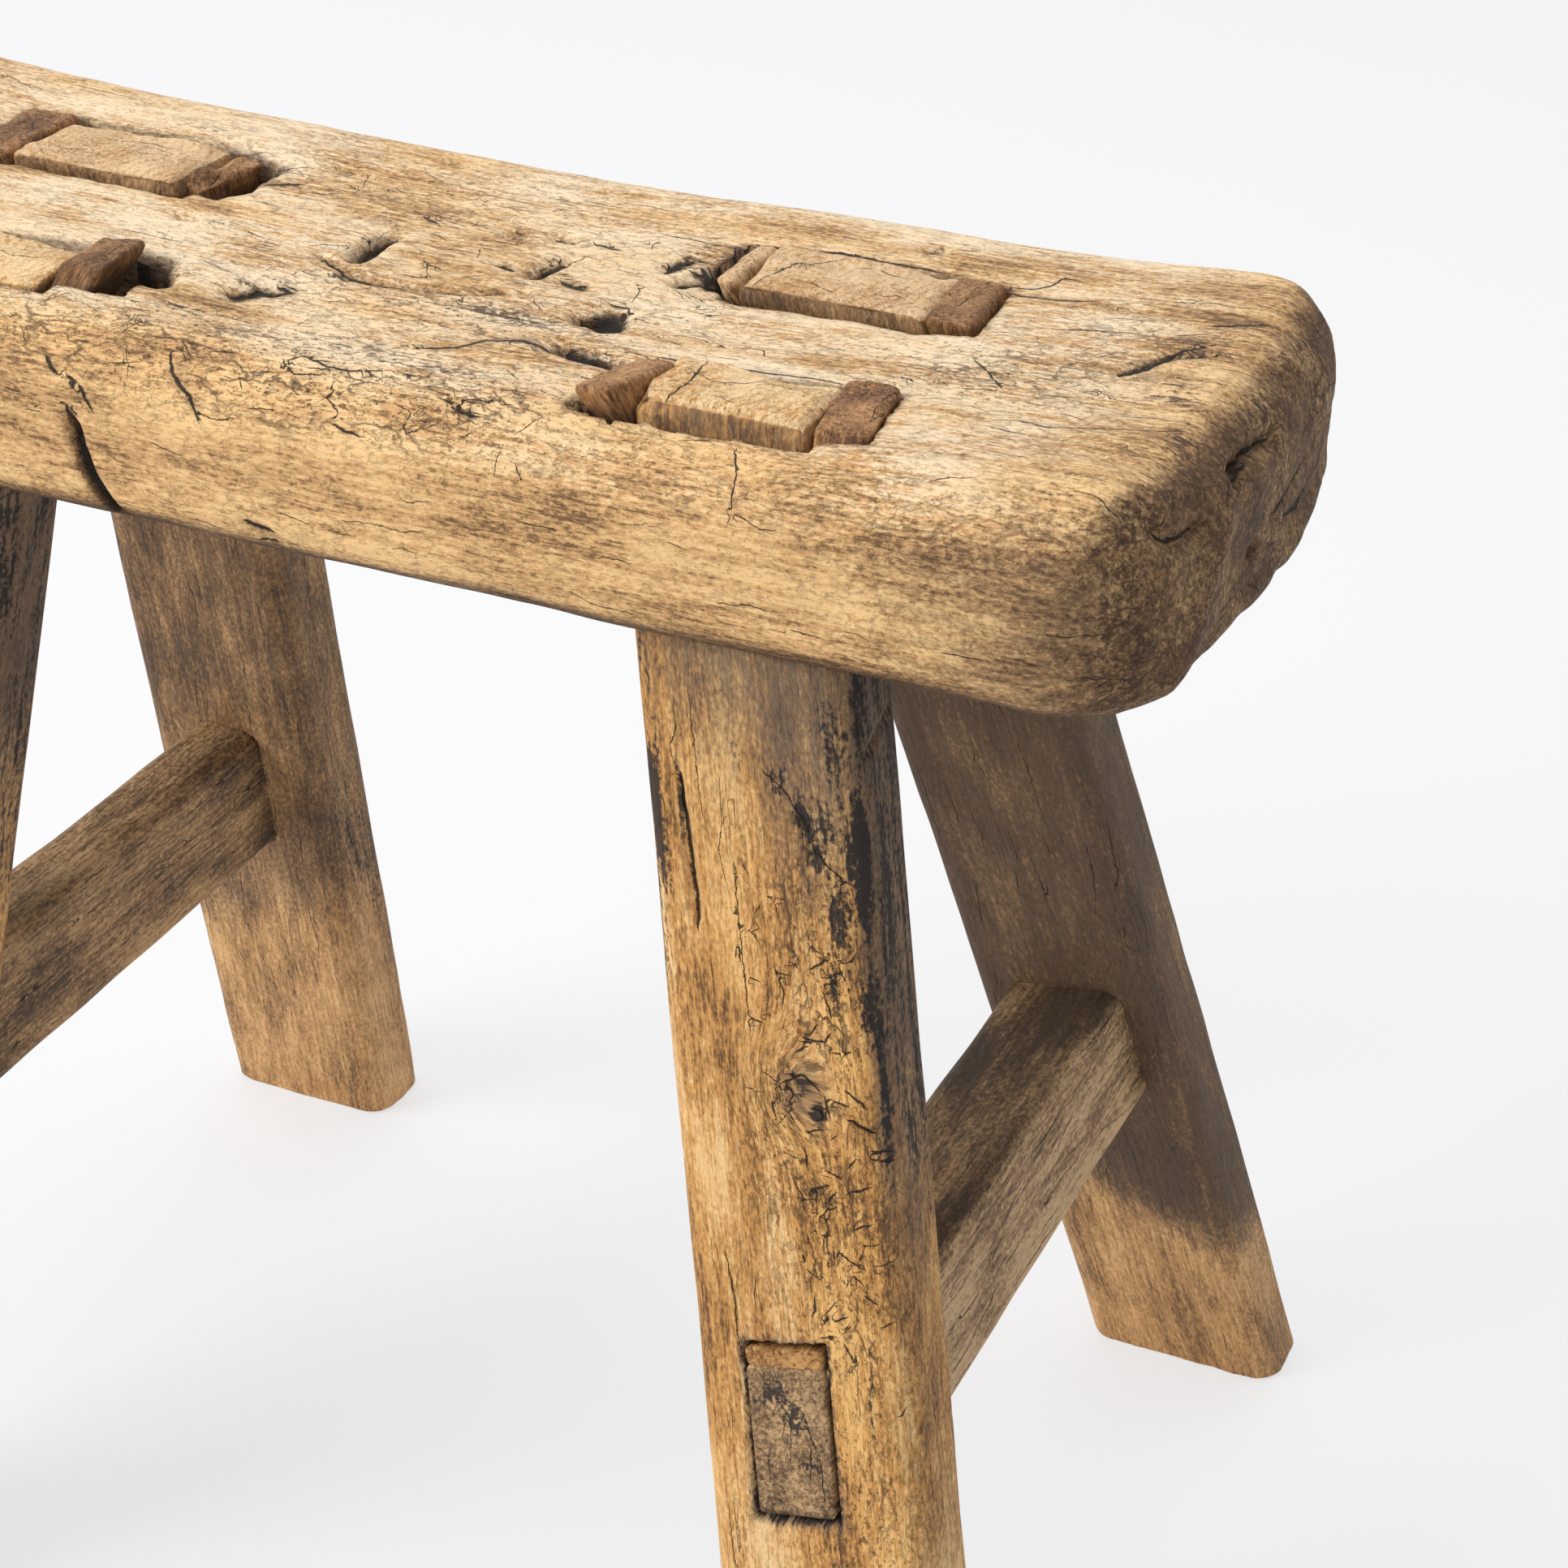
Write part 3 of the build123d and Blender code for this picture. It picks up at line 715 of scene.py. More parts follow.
def leg_loops(side, row):
    """Stations from the foot up: rings that open over the foot, its edge, the tapering bar,
    the level shoulder, the tenon, and rings that close over the tenon's top."""
    top = seat_surface(tenon_axis(side, row, seat_top)[0]) + tenon_proud[f"{row}_{side}"]
    turn = np.linspace(0, quarter_turn, 8)[1:]
    z, shrink, in_tenon, rounding = columns(
        (0.0, np.linspace(0.05, 1, 14)[:-1], 0.0, foot_edge),
        ((0.0, 0.35), 1.0, 0.0, (foot_edge, 0.3)),
        (np.linspace(0.8, seat_bottom, 300), 1.0, 0.0, 0.0),
        (seat_bottom, 1.0, (0.25, 0.5, 0.75, 1.0), 0.0),
        (np.linspace(seat_bottom, top - 9, 8), 1.0, 1.0, 0.0),
        (np.linspace(top - 8.2, top - tenon_edge, 11), 1.0, 1.0, 0.0),
        (top - tenon_edge + tenon_edge * np.sin(turn), 1.0, 1.0,
         tenon_edge * (1 - np.cos(turn))),
        (top, np.linspace(1, 0.05, 24)[1:], 1.0, tenon_edge))
    bar_z = np.minimum(z, seat_bottom)
    width = leg_width[0] + (leg_width[1] - leg_width[0]) * (bar_z / seat_bottom)
    half = np.stack((width / 2, leg_half_thickness(row, bar_z)), 1)
    tenon_half = np.array((tenon_width[row], tenon_thickness[row])) / 2
    half = half + (tenon_half - half) * in_tenon[:, None] - rounding[:, None]
    local = bar_loops(half, leg_edge + (1.5 - leg_edge) * in_tenon, shrink, (44, 14), 9)
    centre = tenon_axis(side, row, z)[:, None] + local
    height = np.broadcast_to(z[:, None, None], local.shape[:2] + (1,))
    return np.concatenate((centre, height), 2), local, in_tenon, width / 2


leg_grain = dict(pith=(-7.0, 3.0), ring_width=2.2, contrast=1.10, fibre_depth=0.50)
leg_wood = {
    "front": wood_material(
        "leg_wood_front", **leg_grain, bleached=(0.95, 0.69, 0.39), pale=(0.92, 0.545, 0.190),
        middle=(0.64, 0.315, 0.088), dark=(0.15, 0.070, 0.028), stain=(0.018, 0.017, 0.017),
        grime=(0.160, 0.112, 0.080)),
    # The rear legs' grime colour is dark as it also paints the shade under the seat
    "rear": wood_material(
        "leg_wood_rear", **leg_grain, bleached=(0.88, 0.62, 0.36), pale=(0.88, 0.53, 0.235),
        middle=(0.58, 0.315, 0.125), dark=(0.20, 0.11, 0.052), stain=(0.028, 0.023, 0.020),
        grime=(0.098, 0.069, 0.050))}

# Marks on the legs' outer faces: across and height, half sizes and strength
leg_stains = {
    "front_right": (
        (-19.5, 224, 2.4, 15, 1.2), (-21, 204, 1.8, 16, 0.72), (20.5, 220, 3.0, 22, 0.95),
        (17, 212, 3.6, 11, 0.78), (15, 227, 5.0, 8, 0.62), (21, 196, 2.4, 15, 0.80),
        (-13.5, 226, 1.4, 8, 0.85), (11, 229, 1.9, 4.5, 0.95), (13.5, 222, 2.4, 3.5, 0.85),
        (19, 242, 4.0, 10, 0.76), (-22.5, 160, 1.4, 34, 0.52), (1, 238, 4.5, 5, 0.52),
        (7, 234, 2.6, 4, 0.60), (22, 176, 2.0, 18, 0.60), (-0.8, 219, 0.9, 4, 0.7),
        (15, 200, 3.0, 10, 0.52), (9.6, 174, 1.6, 2.2, 0.95), (6.5, 178.5, 3.2, 2.6, 0.50),
        (-20, 249, 2.2, 6, 0.60), (16, 120, 2.0, 12, 0.42), (12, 88, 2.4, 8, 0.44)),
    "front_left": ((13, 236, 10, 34, 1.2), (18, 190, 6, 44, 1.0), (-6, 215, 14, 40, 0.62),
                   (2, 160, 9, 34, 0.50), (-16, 250, 9, 9, 0.7)),
    "rear_right": ((16, 128, 7, 14, 0.55), (4, 122, 12, 8, 0.40), (-22, 60, 3, 20, 0.4)),
    "rear_left": ((14, 128, 8, 12, 0.45), (22, 96, 3, 26, 0.5))}
leg_scales = (
    (13, 195, 10, 28, 1.0), (12, 145, 11, 34, 1.0), (10, 95, 11, 26, 0.9), (4, 165, 9, 20, 0.9))
leg_cracks = {
    "front_right": (
        (0.45, -13.5, 231, -12.6, 218, -12, 203), (0.1, -3.4, 218, -3.0, 186),
        (0.28, 15, 174, 20, 172), (0.25, 19, 169, 22, 168.5), (0.2, -13, 142, -12, 133, -12, 125),
        (0.16, 3, 200, 5, 196, 4, 193), (0.28, 10, 178, 7, 181, 3.5, 179, 5, 175.5),
        (0.35, 9.4, 175, 10, 173), (0.16, 11, 227, 14, 222, 19, 218),
        (0.14, 4, 236, 9, 232, 12, 226)),
    "front_left": ((0.3, 6, 240, 7, 205),),
    "rear_right": ((0.2, -6, 120, -5, 80),),
    "rear_left": ((0.2, 4, 200, 5, 160),)}
tenon_cracks = {
    "front_right": ((0.22, -10.2, -10, -9.4, -3, -10.4, 8), (0.1, -4, -1, 3, 3, 12, 2)),
    "front_left": ((0.22, -8, -5, -2, -3),),
    "rear_right": ((0.25, -16, -9, -12, 2, -4, 9), (0.18, 4, 7, 12, 5)),
    "rear_left": ((0.16, -6, 4, 4, 6, 10, 5),)}
front_right_dents = (
    (0.9, 1.6, -13.5, 231, -12.6, 218, -12, 206), (1.6, 1.3, 11, 228, 12.5, 222),
    (2.6, 0.9, 8, 178, 6, 178), (1.0, 1.2, 16, 174, 20, 172), (1.0, 0.9, 9.4, 175, 10, 173))
front_right_side_dents = (
    (1.2, 1.6, 9, 109, 10, 106), (1.0, 0.8, -6, 240, 6, 244))
knot_across, knot_height = 7, 178
# Where a leg turns darker, partly grey weathering and partly painted shade under the seat: its
# height, the blend up and down from it, and how dark it gets
leg_grey_and_shade = {"front_right": (228.0, 38.0, 0.80), "front_left": (150.0, 60.0, 1.0),
            "rear_right": (55.0, 15.0, 0.92), "rear_left": (72.0, 15.0, 0.63)}
darkening_slant = {"front": 1.1, "rear": 0.5}

for seed, (side, row) in enumerate(posts):
    key = f"{row}_{side}"
    front = row == "front"
    base, local, in_tenon, half_width = leg_loops(side, row)
    place, facing, cracks = unrolled(base)
    across, through = local.reshape(-1, 2).T
    z = place[:, 2]
    around = base.shape[1]
    bar = np.repeat(in_tenon == 0, around) & (z > 0)
    tenon = np.repeat(in_tenon == 1, around)
    top_face = tenon & (facing[:, 2] > 0.5)
    outer = facing[:, 1] * row_sign[row]
    outer_face = outer > 0.45
    spread = np.clip(across / np.repeat(half_width, around), -1, 1)
    own = np.stack((across, through, z), 1) + (seed * 57.0, 0.0, 0.0)
    lift = bar * (1.3 * (1 - spread ** 2) * np.clip(outer, 0, 1)
                  + 0.55 * waves(own, (22, 22, 60), 20 + seed)
                  + 0.22 * waves(own, (5, 5, 18), 30 + seed)
                  + 0.08 * waves(own, (1.8, 1.8, 9), 40 + seed))
    plan = np.stack((across, through), 1)
    lift += top_face * (0.45 * waves(own, (9, 6, 9), 50 + seed)
                        + 0.15 * waves(own, (2.2, 1.6, 9), 60 + seed))
    upper_tenon = tenon * smooth(z, z.max() - 4, z.max() - 1.5)
    lift += 0.35 * upper_tenon * waves(own, (3.0, 3.0, 2.4), 65 + seed)
    for wear in tenon_wear[key]:
        lift -= upper_tenon * blobs(plan, (wear,))
    front_view = np.stack((across, z), 1)
    # The mortise for the stretcher's tenon and the small wedge above it, level with them
    lean = (foot_x[side] - leg_top_x[side]) / seat_bottom
    mortise_x, mortise_z = (size / 2 + 0.5 for size in stretcher_tenon[side])
    rim = box_distance(np.stack((across, z - lean * across), 1),
                       -side_sign[side] * stretcher_tenon_inset,
                       stretcher_height[side] + key_head / 2, mortise_x,
                       mortise_z + key_head / 2)
    rim -= 0.5 * smooth(stretcher_height[side] - z, -6, 14)
    rim = np.where(outer_face & bar, rim + 0.35 * waves(own, (2.5, 9, 2.5), 70 + seed), far)
    lift -= mortise_depth * (1 - smooth(rim, -0.45, 0.35))
    lift -= 0.35 * fade(rim, 1.5)
    if key == "front_right":
        lift -= dent(front_view, outer_face, front_right_dents)
        lift -= dent(np.stack((through, z), 1), facing[:, 0] > 0.2, front_right_side_dents)
    dice = np.random.default_rng(30 + seed)
    strewn = scattered_cracks(dice, 34, (4, -21), (235, 21), (4, 24), (0.02, 0.09), 0.02, -1)
    bark = []
    if key == "front_right":
        dry_bark = np.random.default_rng(36)
        bark = scattered_cracks(dry_bark, 60, (3, 118), (20, 210), (1.5, 5), (0.08, 0.26), 1.1)
        bark += scattered_cracks(dry_bark, 30, (-6, 150), (8, 215), (1.5, 4), (0.05, 0.16), 1.1)
    draw_cracks(cracks, front_view, outer_face & bar, leg_cracks[key], strewn, bark)
    side_view = np.stack((np.where(np.abs(outer) > 0.5, across, through * 2), z), 1)
    draw_cracks(cracks, side_view, bar & ~outer_face, strewn)
    draw_cracks(cracks, plan, top_face, tenon_cracks[key],
                scattered_cracks(dice, 6, (-16, -7), (14, 7), (4, 12), (0.03, 0.12), 0.25))
    # The outer side face, turned from the lamps on the right legs, painted darker as shade, more
    # so higher up
    outer_side_shade = smooth(facing[:, 0] * side_sign[side], 0.2, 0.75)
    # Black stains on the outer faces, with painted shade in the crevice round the stretcher's
    # mortise and on the front legs' outer side
    stain = strongest(np.where(bar & (outer > -0.3), blobs(front_view, leg_stains[key]), 0.0),
                      0.8 * fade(rim, 0.7),
                      0.54 * bar * outer_side_shade * smooth(z, 150, 215) * front)
    darkening_height, darkening_blend, darkening_share = leg_grey_and_shade[key]
    grey_and_shade = smooth(z + darkening_slant[row] * across * side_sign[side], darkening_height - darkening_blend,
                  darkening_height + darkening_blend)
    knot = np.zeros(len(place))
    bent = across
    if key == "front_right":
        off = across - knot_across
        knot = (outer > 0) * np.exp(-(off ** 2 + (0.8 * (z - knot_height)) ** 2) / 64)
        bent = knot_across + off * (1 - 0.9 * knot) + 5 * knot
    # Grey and grime, with painted shade in the crevice round the mortise and on the outer side
    # face
    grime = strongest(np.where(bar, darkening_share * grey_and_shade, 0.54), 0.9 * fade(rim, 1.3),
                      bar * outer_side_shade * (0.32 + 0.66 * smooth(z, 130, 200)))
    grime = np.maximum(np.where(top_face, 0.10, grime), 0.50 * knot)
    scales = blobs(front_view, leg_scales)
    sunlit = 0.26 + 0.34 * waves(own, (9, 9, 40), 75 + seed) - 0.3 * scales
    sunlit += 0.34 * (1 - smooth(z, 40, 95))
    bleach = np.where(top_face, 0.95, bar * front * np.clip(sunlit, 0, 1))
    surface = place + facing * lift[:, None]
    surface[:, 2] = np.maximum(surface[:, 2], 0.0)
    put_piece(f"leg_{key}", "leg_wood", leg_wood[row], base, surface,
              np.stack((z + 400.0 * seed, bent, through), 1), cracks, (bleach, stain, grime),
              np.where(bar, 0.16 + 0.9 * scales * front, 0.2),
              calm=np.where(top_face, 0.85, 0.7 * upper_tenon))

# Stretchers: one bar across each end, shouldered against the legs' inner faces, with a tenon
# through each leg. They are rough-sawn and have gone grey brown, paler where hands rubbed.
stretcher_size = {"right": (28.0, 32.5), "left": (17.0, 38.0)}
stretcher_proud = 0.8
# How dusty the top is and how pale the outer side is rubbed
stretcher_dust = {"right": (0.45, 0.34), "left": (0.0, 0.0)}
tenon_end_stains = (
    (-5, 9, 3.5, 4, 0.9), (-1.5, 5, 3.0, 3.5, 0.95), (0, -5, 2.4, 2, 0.7), (7, 0, 1.2, 14, 0.45))
stretcher_wood = wood_material(
    "stretcher_wood", pith=(50.0, 30.0), ring_width=2.2, contrast=1.5, fibre_depth=0.45,
    bleached=(0.72, 0.51, 0.29), pale=(0.68, 0.42, 0.19), middle=(0.38, 0.22, 0.100),
    dark=(0.11, 0.068, 0.038), stain=(0.030, 0.026, 0.024), grime=(0.070, 0.050, 0.035))


def along_stretcher(side, up, out):
    """x and z of a place given up and outward across a stretcher, which leans as its legs do."""
    lean = math.atan2(foot_x[side] - leg_top_x[side], seat_bottom)
    x = leg_axis(side, "front", stretcher_height[side])[0]
    return (x + out * math.cos(lean) - up * math.sin(lean),
            stretcher_height[side] + up * math.cos(lean) + out * math.sin(lean))


def leg_faces(side, row, z, proud):
    """y of a leg's inner face and of what stands proud of its outer face, at heights z."""
    middle = leg_axis(side, row, z)[..., 1]
    reach = leg_half_thickness(row, z)
    return middle - row_sign[row] * reach, middle + row_sign[row] * (reach + proud)


def stretcher_loops(side):
    """Stations from the front tenon's end to the rear one's. Along the bar a point lies at a
    share of the way between the two legs' inner faces at its own height, and on a tenon at a
    share of the way through the leg, so that the shoulders follow the leaning legs."""
    opening = np.linspace(0.06, 1, 12)[:-1]
    tenon = np.linspace(0, 1, 12)
    share, shrink, thick = columns(
        (-1.0, opening, 0.0), (tenon - 1, 1.0, 0.0), (0.0, 1.0, (0.3, 0.6, 1.0)),
        (np.linspace(0, 1, 150), 1.0, 1.0), (1.0, 1.0, (1.0, 0.6, 0.3)),
        (1 + tenon, 1.0, 0.0), (2.0, opening[::-1], 0.0))
    tenon_half = np.array(stretcher_tenon[side])[::-1] / 2
    bar_half = np.array(stretcher_size[side])[::-1] / 2
    half = tenon_half + (bar_half - tenon_half) * thick[:, None]
    loops = bar_loops(half, 1.0 + 3.5 * thick, shrink, (26, 18), 6)
    up, out = loops[:, :, 0], loops[:, :, 1]
    out = out - side_sign[side] * stretcher_tenon_inset * (1 - thick)[:, None]
    x, z = along_stretcher(side, up, out)
    front_in, front_out = leg_faces(side, "front", z, stretcher_proud)
    rear_in, rear_out = leg_faces(side, "rear", z, stretcher_proud)
    share = share[:, None]
    y = front_in + (rear_in - front_in) * np.clip(share, 0, 1)
    y = np.where(share < 0, front_in + (front_out - front_in) * -share, y)
    y = np.where(share > 1, rear_in + (rear_out - rear_in) * (share - 1), y)
    return np.stack((x, y, z), 2), up.ravel(), out.ravel(), thick


for seed, side in enumerate(("right", "left")):
    base, up, out, thick = stretcher_loops(side)
    place, facing, cracks = unrolled(base)
    thick = np.repeat(thick, base.shape[1])
    bar = thick == 1.0
    tenon_end = (np.abs(facing[:, 1]) > 0.7) & (thick == 0)
    lift = bar * (0.5 * waves(place, (18, 50, 18), 80 + seed)
                  + 0.22 * waves(place, (4, 16, 4), 82 + seed))
    lift += tenon_end * (0.45 * waves(place, (7, 60, 7), 84 + seed)
                         + 0.15 * waves(place, (2.5, 60, 2.5), 86 + seed))
    end_view = np.stack((out, up), 1)
    dice = np.random.default_rng(60 + seed)
    draw_cracks(cracks, np.stack((place[:, 1], up), 1), bar,
                scattered_cracks(dice, 40, (-80, -15), (70, 15), (5, 26), (0.03, 0.13), 0.05))
    draw_cracks(cracks, end_view, tenon_end,
                scattered_cracks(dice, 6, (-12, -7), (10, 7), (4, 10), (0.03, 0.12), 0.3, -1))
    bar_y = place[bar, 1]
    from_leg = np.minimum(np.abs(place[:, 1] - bar_y.min()), np.abs(place[:, 1] - bar_y.max()))
    handled = 0.30 + 0.34 * waves(place, (12, 26, 12), 88 + seed)
    upward = smooth(facing[:, 2], 0.2, 0.9)
    dusty_top, rubbed_side = stretcher_dust[side]
    rubbed = rubbed_side * smooth(facing[:, 0] * side_sign[side], 0.3, 0.9)
    grime = np.where(bar, handled + 0.55 * np.exp(-from_leg / 14) + dusty_top * upward - rubbed,
                     0.35)
    grime = np.where(tenon_end, 0.36, np.clip(grime, 0, 1))
    # The stretcher's underside painted darker as shade
    grime = np.maximum(grime, 0.75 * smooth(-facing[:, 2], 0.3, 0.9))
    bleach = np.where(bar, 0.45 * upward * (1 - dusty_top) + 1.6 * rubbed, 0.2)
    put_piece(f"stretcher_{side}", "stretcher_wood", stretcher_wood, base,
              place + facing * lift[:, None],
              np.stack((place[:, 1] + 900.0 * (seed + 1), out, up), 1), cracks,
              (bleach, tenon_end * blobs(end_view, tenon_end_stains), grime), 0.25)

# Wedges in the seat: slips of harder, redder wood driven in at both ends of each leg tenon to
# spread it. Their heads are worn. Five stand proud, and three end near the seat's surface.
wedge_wood = wood_material(
    "wedge_wood", pith=(4.0, 150.0), ring_width=1.7, contrast=1.3, fibre_depth=0.5,
    bleached=(0.86, 0.59, 0.33), pale=(0.58, 0.31, 0.130), middle=(0.38, 0.185, 0.072),
    dark=(0.120, 0.055, 0.026), stain=(0.035, 0.024, 0.018), grime=(0.085, 0.047, 0.026))
wedge_tip_height = 262.0
wedge_tip = 1.5
wedge_edge = 1.2
wedge_heads = {
    # head thickness, shift along y, half depth, height over the seat, tilt along x and y,
    # turn, roughness, grime and bleach
    "front_right_inner": (8.5, -4.2, 9.6, 2.6, 0.20, -0.05, -14.0, 0.2, 0.14, 0.05),
    "front_right_outer": (10.5, 1.6, 10.9, 1.8, -0.02, 0.03, 7.0, 0.2, 0.14, 0.05),
    "rear_right_inner": (4.6, 0.4, 10.0, 0.5, 0.04, 0.02, -4.0, 0.5, 0.04, 0.85),
    "rear_right_outer": (9.5, -0.6, 11.4, 1.4, -0.04, 0.02, 5.0, 0.2, 0.38, 0.05),
    "rear_left_inner": (6.5, 1.4, 9.6, -0.6, -0.10, 0.06, -12.0, 1.3, 0.38, 0.05),
    "rear_left_outer": (12.5, 0.5, 13.0, 1.2, 0.03, 0.02, 0.0, 0.25, 0.42, 0.05),
    "front_left_inner": (10.0, 3.4, 8.6, 2.6, 0.06, -0.05, 6.0, 0.4, 0.58, 0.05),
    "front_left_outer": (10.0, 0.0, 9.4, 0.6, 0.0, 0.0, 0.0, 0.3, 0.14, 0.05)}


def wedge_loops(side, row, end, head, shift, half_depth, proud, tilt_x, tilt_y, degrees):
    """Stations from the tip up: a thin blade that thickens evenly away from the tenon, then a
    rounded head whose rings close over a tilted, uneven top."""
    top = seat_surface(tenon_axis(side, row, seat_top)[0]) + proud
    turn = np.linspace(0, quarter_turn, 6)[1:]
    z, shrink, edge = columns(
        (wedge_tip_height, np.linspace(0.1, 1, 4)[:-1], 0.0),
        (np.linspace(wedge_tip_height, top - 9, 12), 1.0, 0.0),
        (np.linspace(top - 8, top - wedge_edge, 10), 1.0, 0.0),
        (top - wedge_edge + wedge_edge * np.sin(turn), 1.0, wedge_edge * (1 - np.cos(turn))),
        (top, np.linspace(1, 0.06, 16)[1:], wedge_edge))
    thickness = wedge_tip + (head - wedge_tip) * (z - wedge_tip_height) / (top - wedge_tip_height)
    half = np.stack((thickness / 2 - np.minimum(edge, thickness / 2 - 0.3), half_depth - edge), 1)
    local = bar_loops(half, np.minimum(1.3, half[:, 0] * 0.6), shrink, (15, 28), 5)
    high = smooth(z, top - 10, top)[:, None]
    angle = math.radians(degrees) * high
    thin, deep = local[:, :, 0], local[:, :, 1]
    centre = tenon_axis(side, row, z)[:, None]
    direction = side_sign[side] * (1 if end == "outer" else -1)
    x = centre[..., 0] + direction * (tenon_width[row] + thickness[:, None]) / 2
    return np.stack((x + thin * np.cos(angle) - deep * np.sin(angle),
                     centre[..., 1] + thin * np.sin(angle) + deep * np.cos(angle) + shift * high,
                     z[:, None] + high * (tilt_x * thin + tilt_y * deep)), 2), local


for seed, (key, (*sizes, rough, soil, bleach)) in enumerate(wedge_heads.items()):
    row, side, end = key.split("_")
    base, local = wedge_loops(side, row, end, *sizes)
    place, facing, cracks = unrolled(base)
    local = local.reshape(-1, 2)
    head = smooth(place[:, 2], place[:, 2].max() - 7, place[:, 2].max() - 3)
    lift = head * ((0.25 + rough) * waves(place, (2.8, 5.5, 5), 100 + seed)
                   + 0.12 * waves(place, (1.1, 3.5, 3), 110 + seed))
    dice = np.random.default_rng(90 + seed)
    draw_cracks(cracks, local, facing[:, 2] > 0.5,
                scattered_cracks(dice, 4, (-9, -4), (5, 4), (4, 12), (0.03, 0.12), 0.2, -1))
    # Below its head, down in the pocket, a wedge is painted darker as shade
    put_piece(f"seat_wedge_{key}", "wedge_wood", wedge_wood, base,
              place + facing * lift[:, None],
              np.column_stack((place[:, 2] + 70.0 * seed, local)), cracks,
              (bleach, 0.0, soil + 0.6 * (1 - head)), 0.3)

# Keys: four small wedges driven in over the stretcher tenons from the legs' outer faces. Each
# shows as a narrow strip of orange-brown end grain above the tenon's end.
key_length = 15.0
key_tip = 0.8
key_proud = 0.7
key_wood = wood_material(
    "key_wood", pith=(60.0, 4.0), ring_width=1.6, contrast=1.6, fibre_depth=0.6,
    bleached=(0.72, 0.42, 0.17), pale=(0.66, 0.34, 0.11), middle=(0.44, 0.20, 0.065),
    dark=(0.12, 0.055, 0.025), stain=(0.04, 0.025, 0.018), grime=(0.10, 0.058, 0.03))


def key_loops(side, row):
    """Stations from the tip inside the leg to the head in its outer face: a rectangle that
    grows taller by even taper, closed by shrinking rings at both ends."""
    share, shrink = columns((0.0, np.linspace(0.1, 1, 4)[:-1]), (np.linspace(0, 1, 12), 1.0),
                            (1.0, np.linspace(1, 0.08, 8)[1:]))
    height = key_tip + (key_head - key_tip) * share
    tenon_thick, tenon_tall = stretcher_tenon[side]
    half = np.stack(np.broadcast_arrays(height / 2, tenon_thick / 2), 1)
    local = bar_loops(half, height * 0.2, shrink, (8, 20), 3)
    x, z = along_stretcher(side, local[:, :, 0] + tenon_tall / 2 + height[:, None] / 2,
                           local[:, :, 1] - side_sign[side] * stretcher_tenon_inset)
    face = leg_faces(side, row, z, key_proud)[1]
    y = face - row_sign[row] * (1 - share[:, None]) * key_length
    points = np.stack((x, y, z), 2)
    return points[:, ::-1] if row == "front" else points


for seed, (side, row) in enumerate(posts):
    base = key_loops(side, row)
    place, facing, cracks = unrolled(base)
    lift = 0.35 * waves(place, (1.6, 4, 1.2), 130 + seed)
    grain = place[:, [1, 0, 2]] + (50.0 * seed, 0.0, 0.0)
    put_piece(f"stretcher_wedge_{row}_{side}", "wedge_wood", key_wood, base,
              place + facing * lift[:, None], grain, cracks, (0.3, 0.0, 0.25), 0.2)

# Floor: a plain pale sweep of studio paper that keeps the stool's soft shadow. What is seen
# of it directly also glows a little, as an overlit ground does in a photo.
floor_size = 12.0
paper_glow = 0.64
floor_mesh = bpy.data.meshes.new("floor")
floor_mesh.from_pydata([(floor_size * x, floor_size * y, 0) for x, y in
                        ((-1, -1), (1, -1), (1, 1), (-1, 1))], [], [(0, 1, 2, 3)])
paper = bpy.data.materials.new("paper")
paper.use_nodes = True
paper_wire = Wiring(paper.node_tree)
paper_look = paper_wire.fill(paper.node_tree.nodes["Principled BSDF"], {
    "Base Color": (0.90, 0.905, 0.925, 1), "Roughness": 0.9, "Specular IOR Level": 0.1})


def seen_directly(wire):
    """1 for what the camera sees itself, in a gloss or through glass, and 0 for light."""
    rays = wire.fill(wire.tree.nodes.new("ShaderNodeLightPath"), {})
    return rays["Is Camera Ray"].larger(rays["Is Glossy Ray"]).larger(
        rays["Is Transmission Ray"])


bright = paper_wire.add("ShaderNodeEmission", {"Color": (1.0, 1.0, 1.0, 1), "Strength": 1.0})
glow = seen_directly(paper_wire) * paper_glow
lit = paper_wire.add("ShaderNodeMixShader", {0: glow, 1: paper_look["BSDF"], 2: bright})
paper_wire.fill(paper.node_tree.nodes["Material Output"], {"Surface": lit})
floor_mesh.materials.append(paper)
floor = bpy.data.objects.new("floor", floor_mesh)
bpy.context.scene.collection.objects.link(floor)

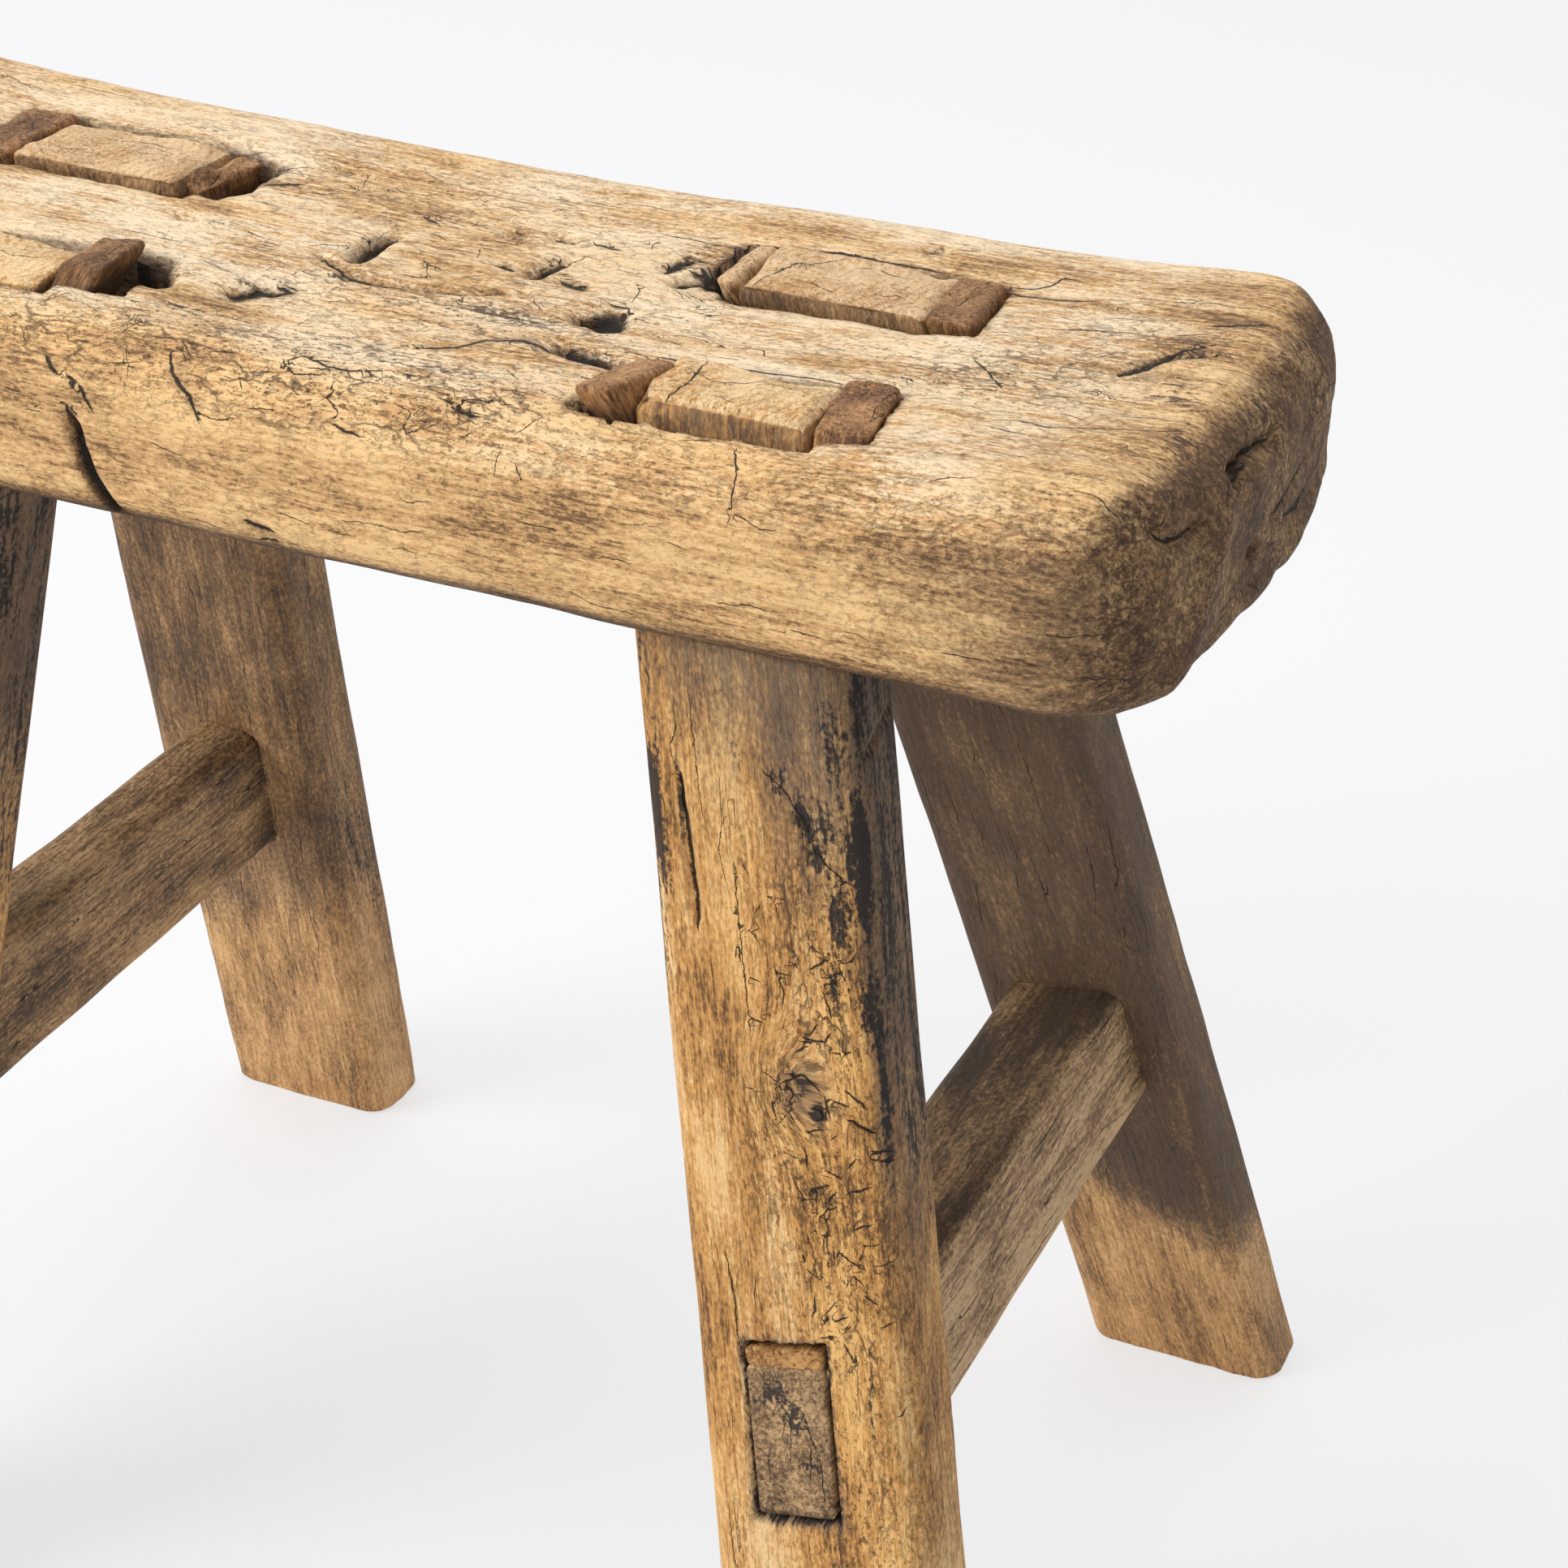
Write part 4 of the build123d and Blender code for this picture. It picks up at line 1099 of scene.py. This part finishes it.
# Light: an even white surround, a large soft lamp from the front left and one overhead, as
# in a small studio. The surround is brighter where it is seen than as a light.
world = bpy.data.worlds.new("surround")
bpy.context.scene.world = world
world.use_nodes = True
world_wire = Wiring(world.node_tree)
surround = world_wire.mix(seen_directly(world_wire), (0.43, 0.43, 0.443, 1),
                          (0.91, 0.915, 0.92, 1))
world_wire.fill(world.node_tree.nodes["Background"], {"Color": surround})
lamp_target = Vector((0.0, 0.0, 0.2))
for name, position, size, power in (("front_left_lamp", (-1.35, -1.4, 1.4), 1.2, 30.0),
                                    ("overhead_lamp", (-0.3, 0.3, 2.1), 1.8, 18.0)):
    light = bpy.data.lights.new(name, "AREA")
    light.size = size
    light.energy = power
    lamp = bpy.data.objects.new(name, light)
    lamp.location = position
    lamp.rotation_euler = (lamp_target - lamp.location).to_track_quat("-Z", "Y").to_euler()
    bpy.context.scene.collection.objects.link(lamp)

# Camera: at the photograph's place and angle. The picture is a crop of a wider one, so its
# centre lies to the side of the lens's axis.
camera_azimuth = math.radians(21.55)
camera_elevation = math.radians(30.08)
camera_roll = math.radians(1.73)
camera_place = Vector((0.3218, -0.5340, 0.5373))
picture_pixels = 1932
focal_pixels = 4117.36
centre_shift_pixels = 201.4
sensor = 36.0
sideways = Vector((math.cos(camera_azimuth), math.sin(camera_azimuth), 0))
ahead = Vector((-math.sin(camera_azimuth) * math.cos(camera_elevation),
                math.cos(camera_azimuth) * math.cos(camera_elevation),
                -math.sin(camera_elevation)))
upwards = sideways.cross(ahead)
right = math.cos(camera_roll) * sideways + math.sin(camera_roll) * upwards
up = -math.sin(camera_roll) * sideways + math.cos(camera_roll) * upwards
camera_data = bpy.data.cameras.new("camera")
camera_data.sensor_fit = "HORIZONTAL"
camera_data.sensor_width = sensor
camera_data.lens = focal_pixels / picture_pixels * sensor
camera_data.shift_x = -centre_shift_pixels / picture_pixels
camera_data.clip_start = 0.01
camera = bpy.data.objects.new("camera", camera_data)
placing = Matrix((right, up, -ahead)).transposed().to_4x4()
placing.translation = camera_place
camera.matrix_world = placing
bpy.context.scene.collection.objects.link(camera)
bpy.context.scene.camera = camera
bpy.context.scene.view_settings.view_transform = "Standard"
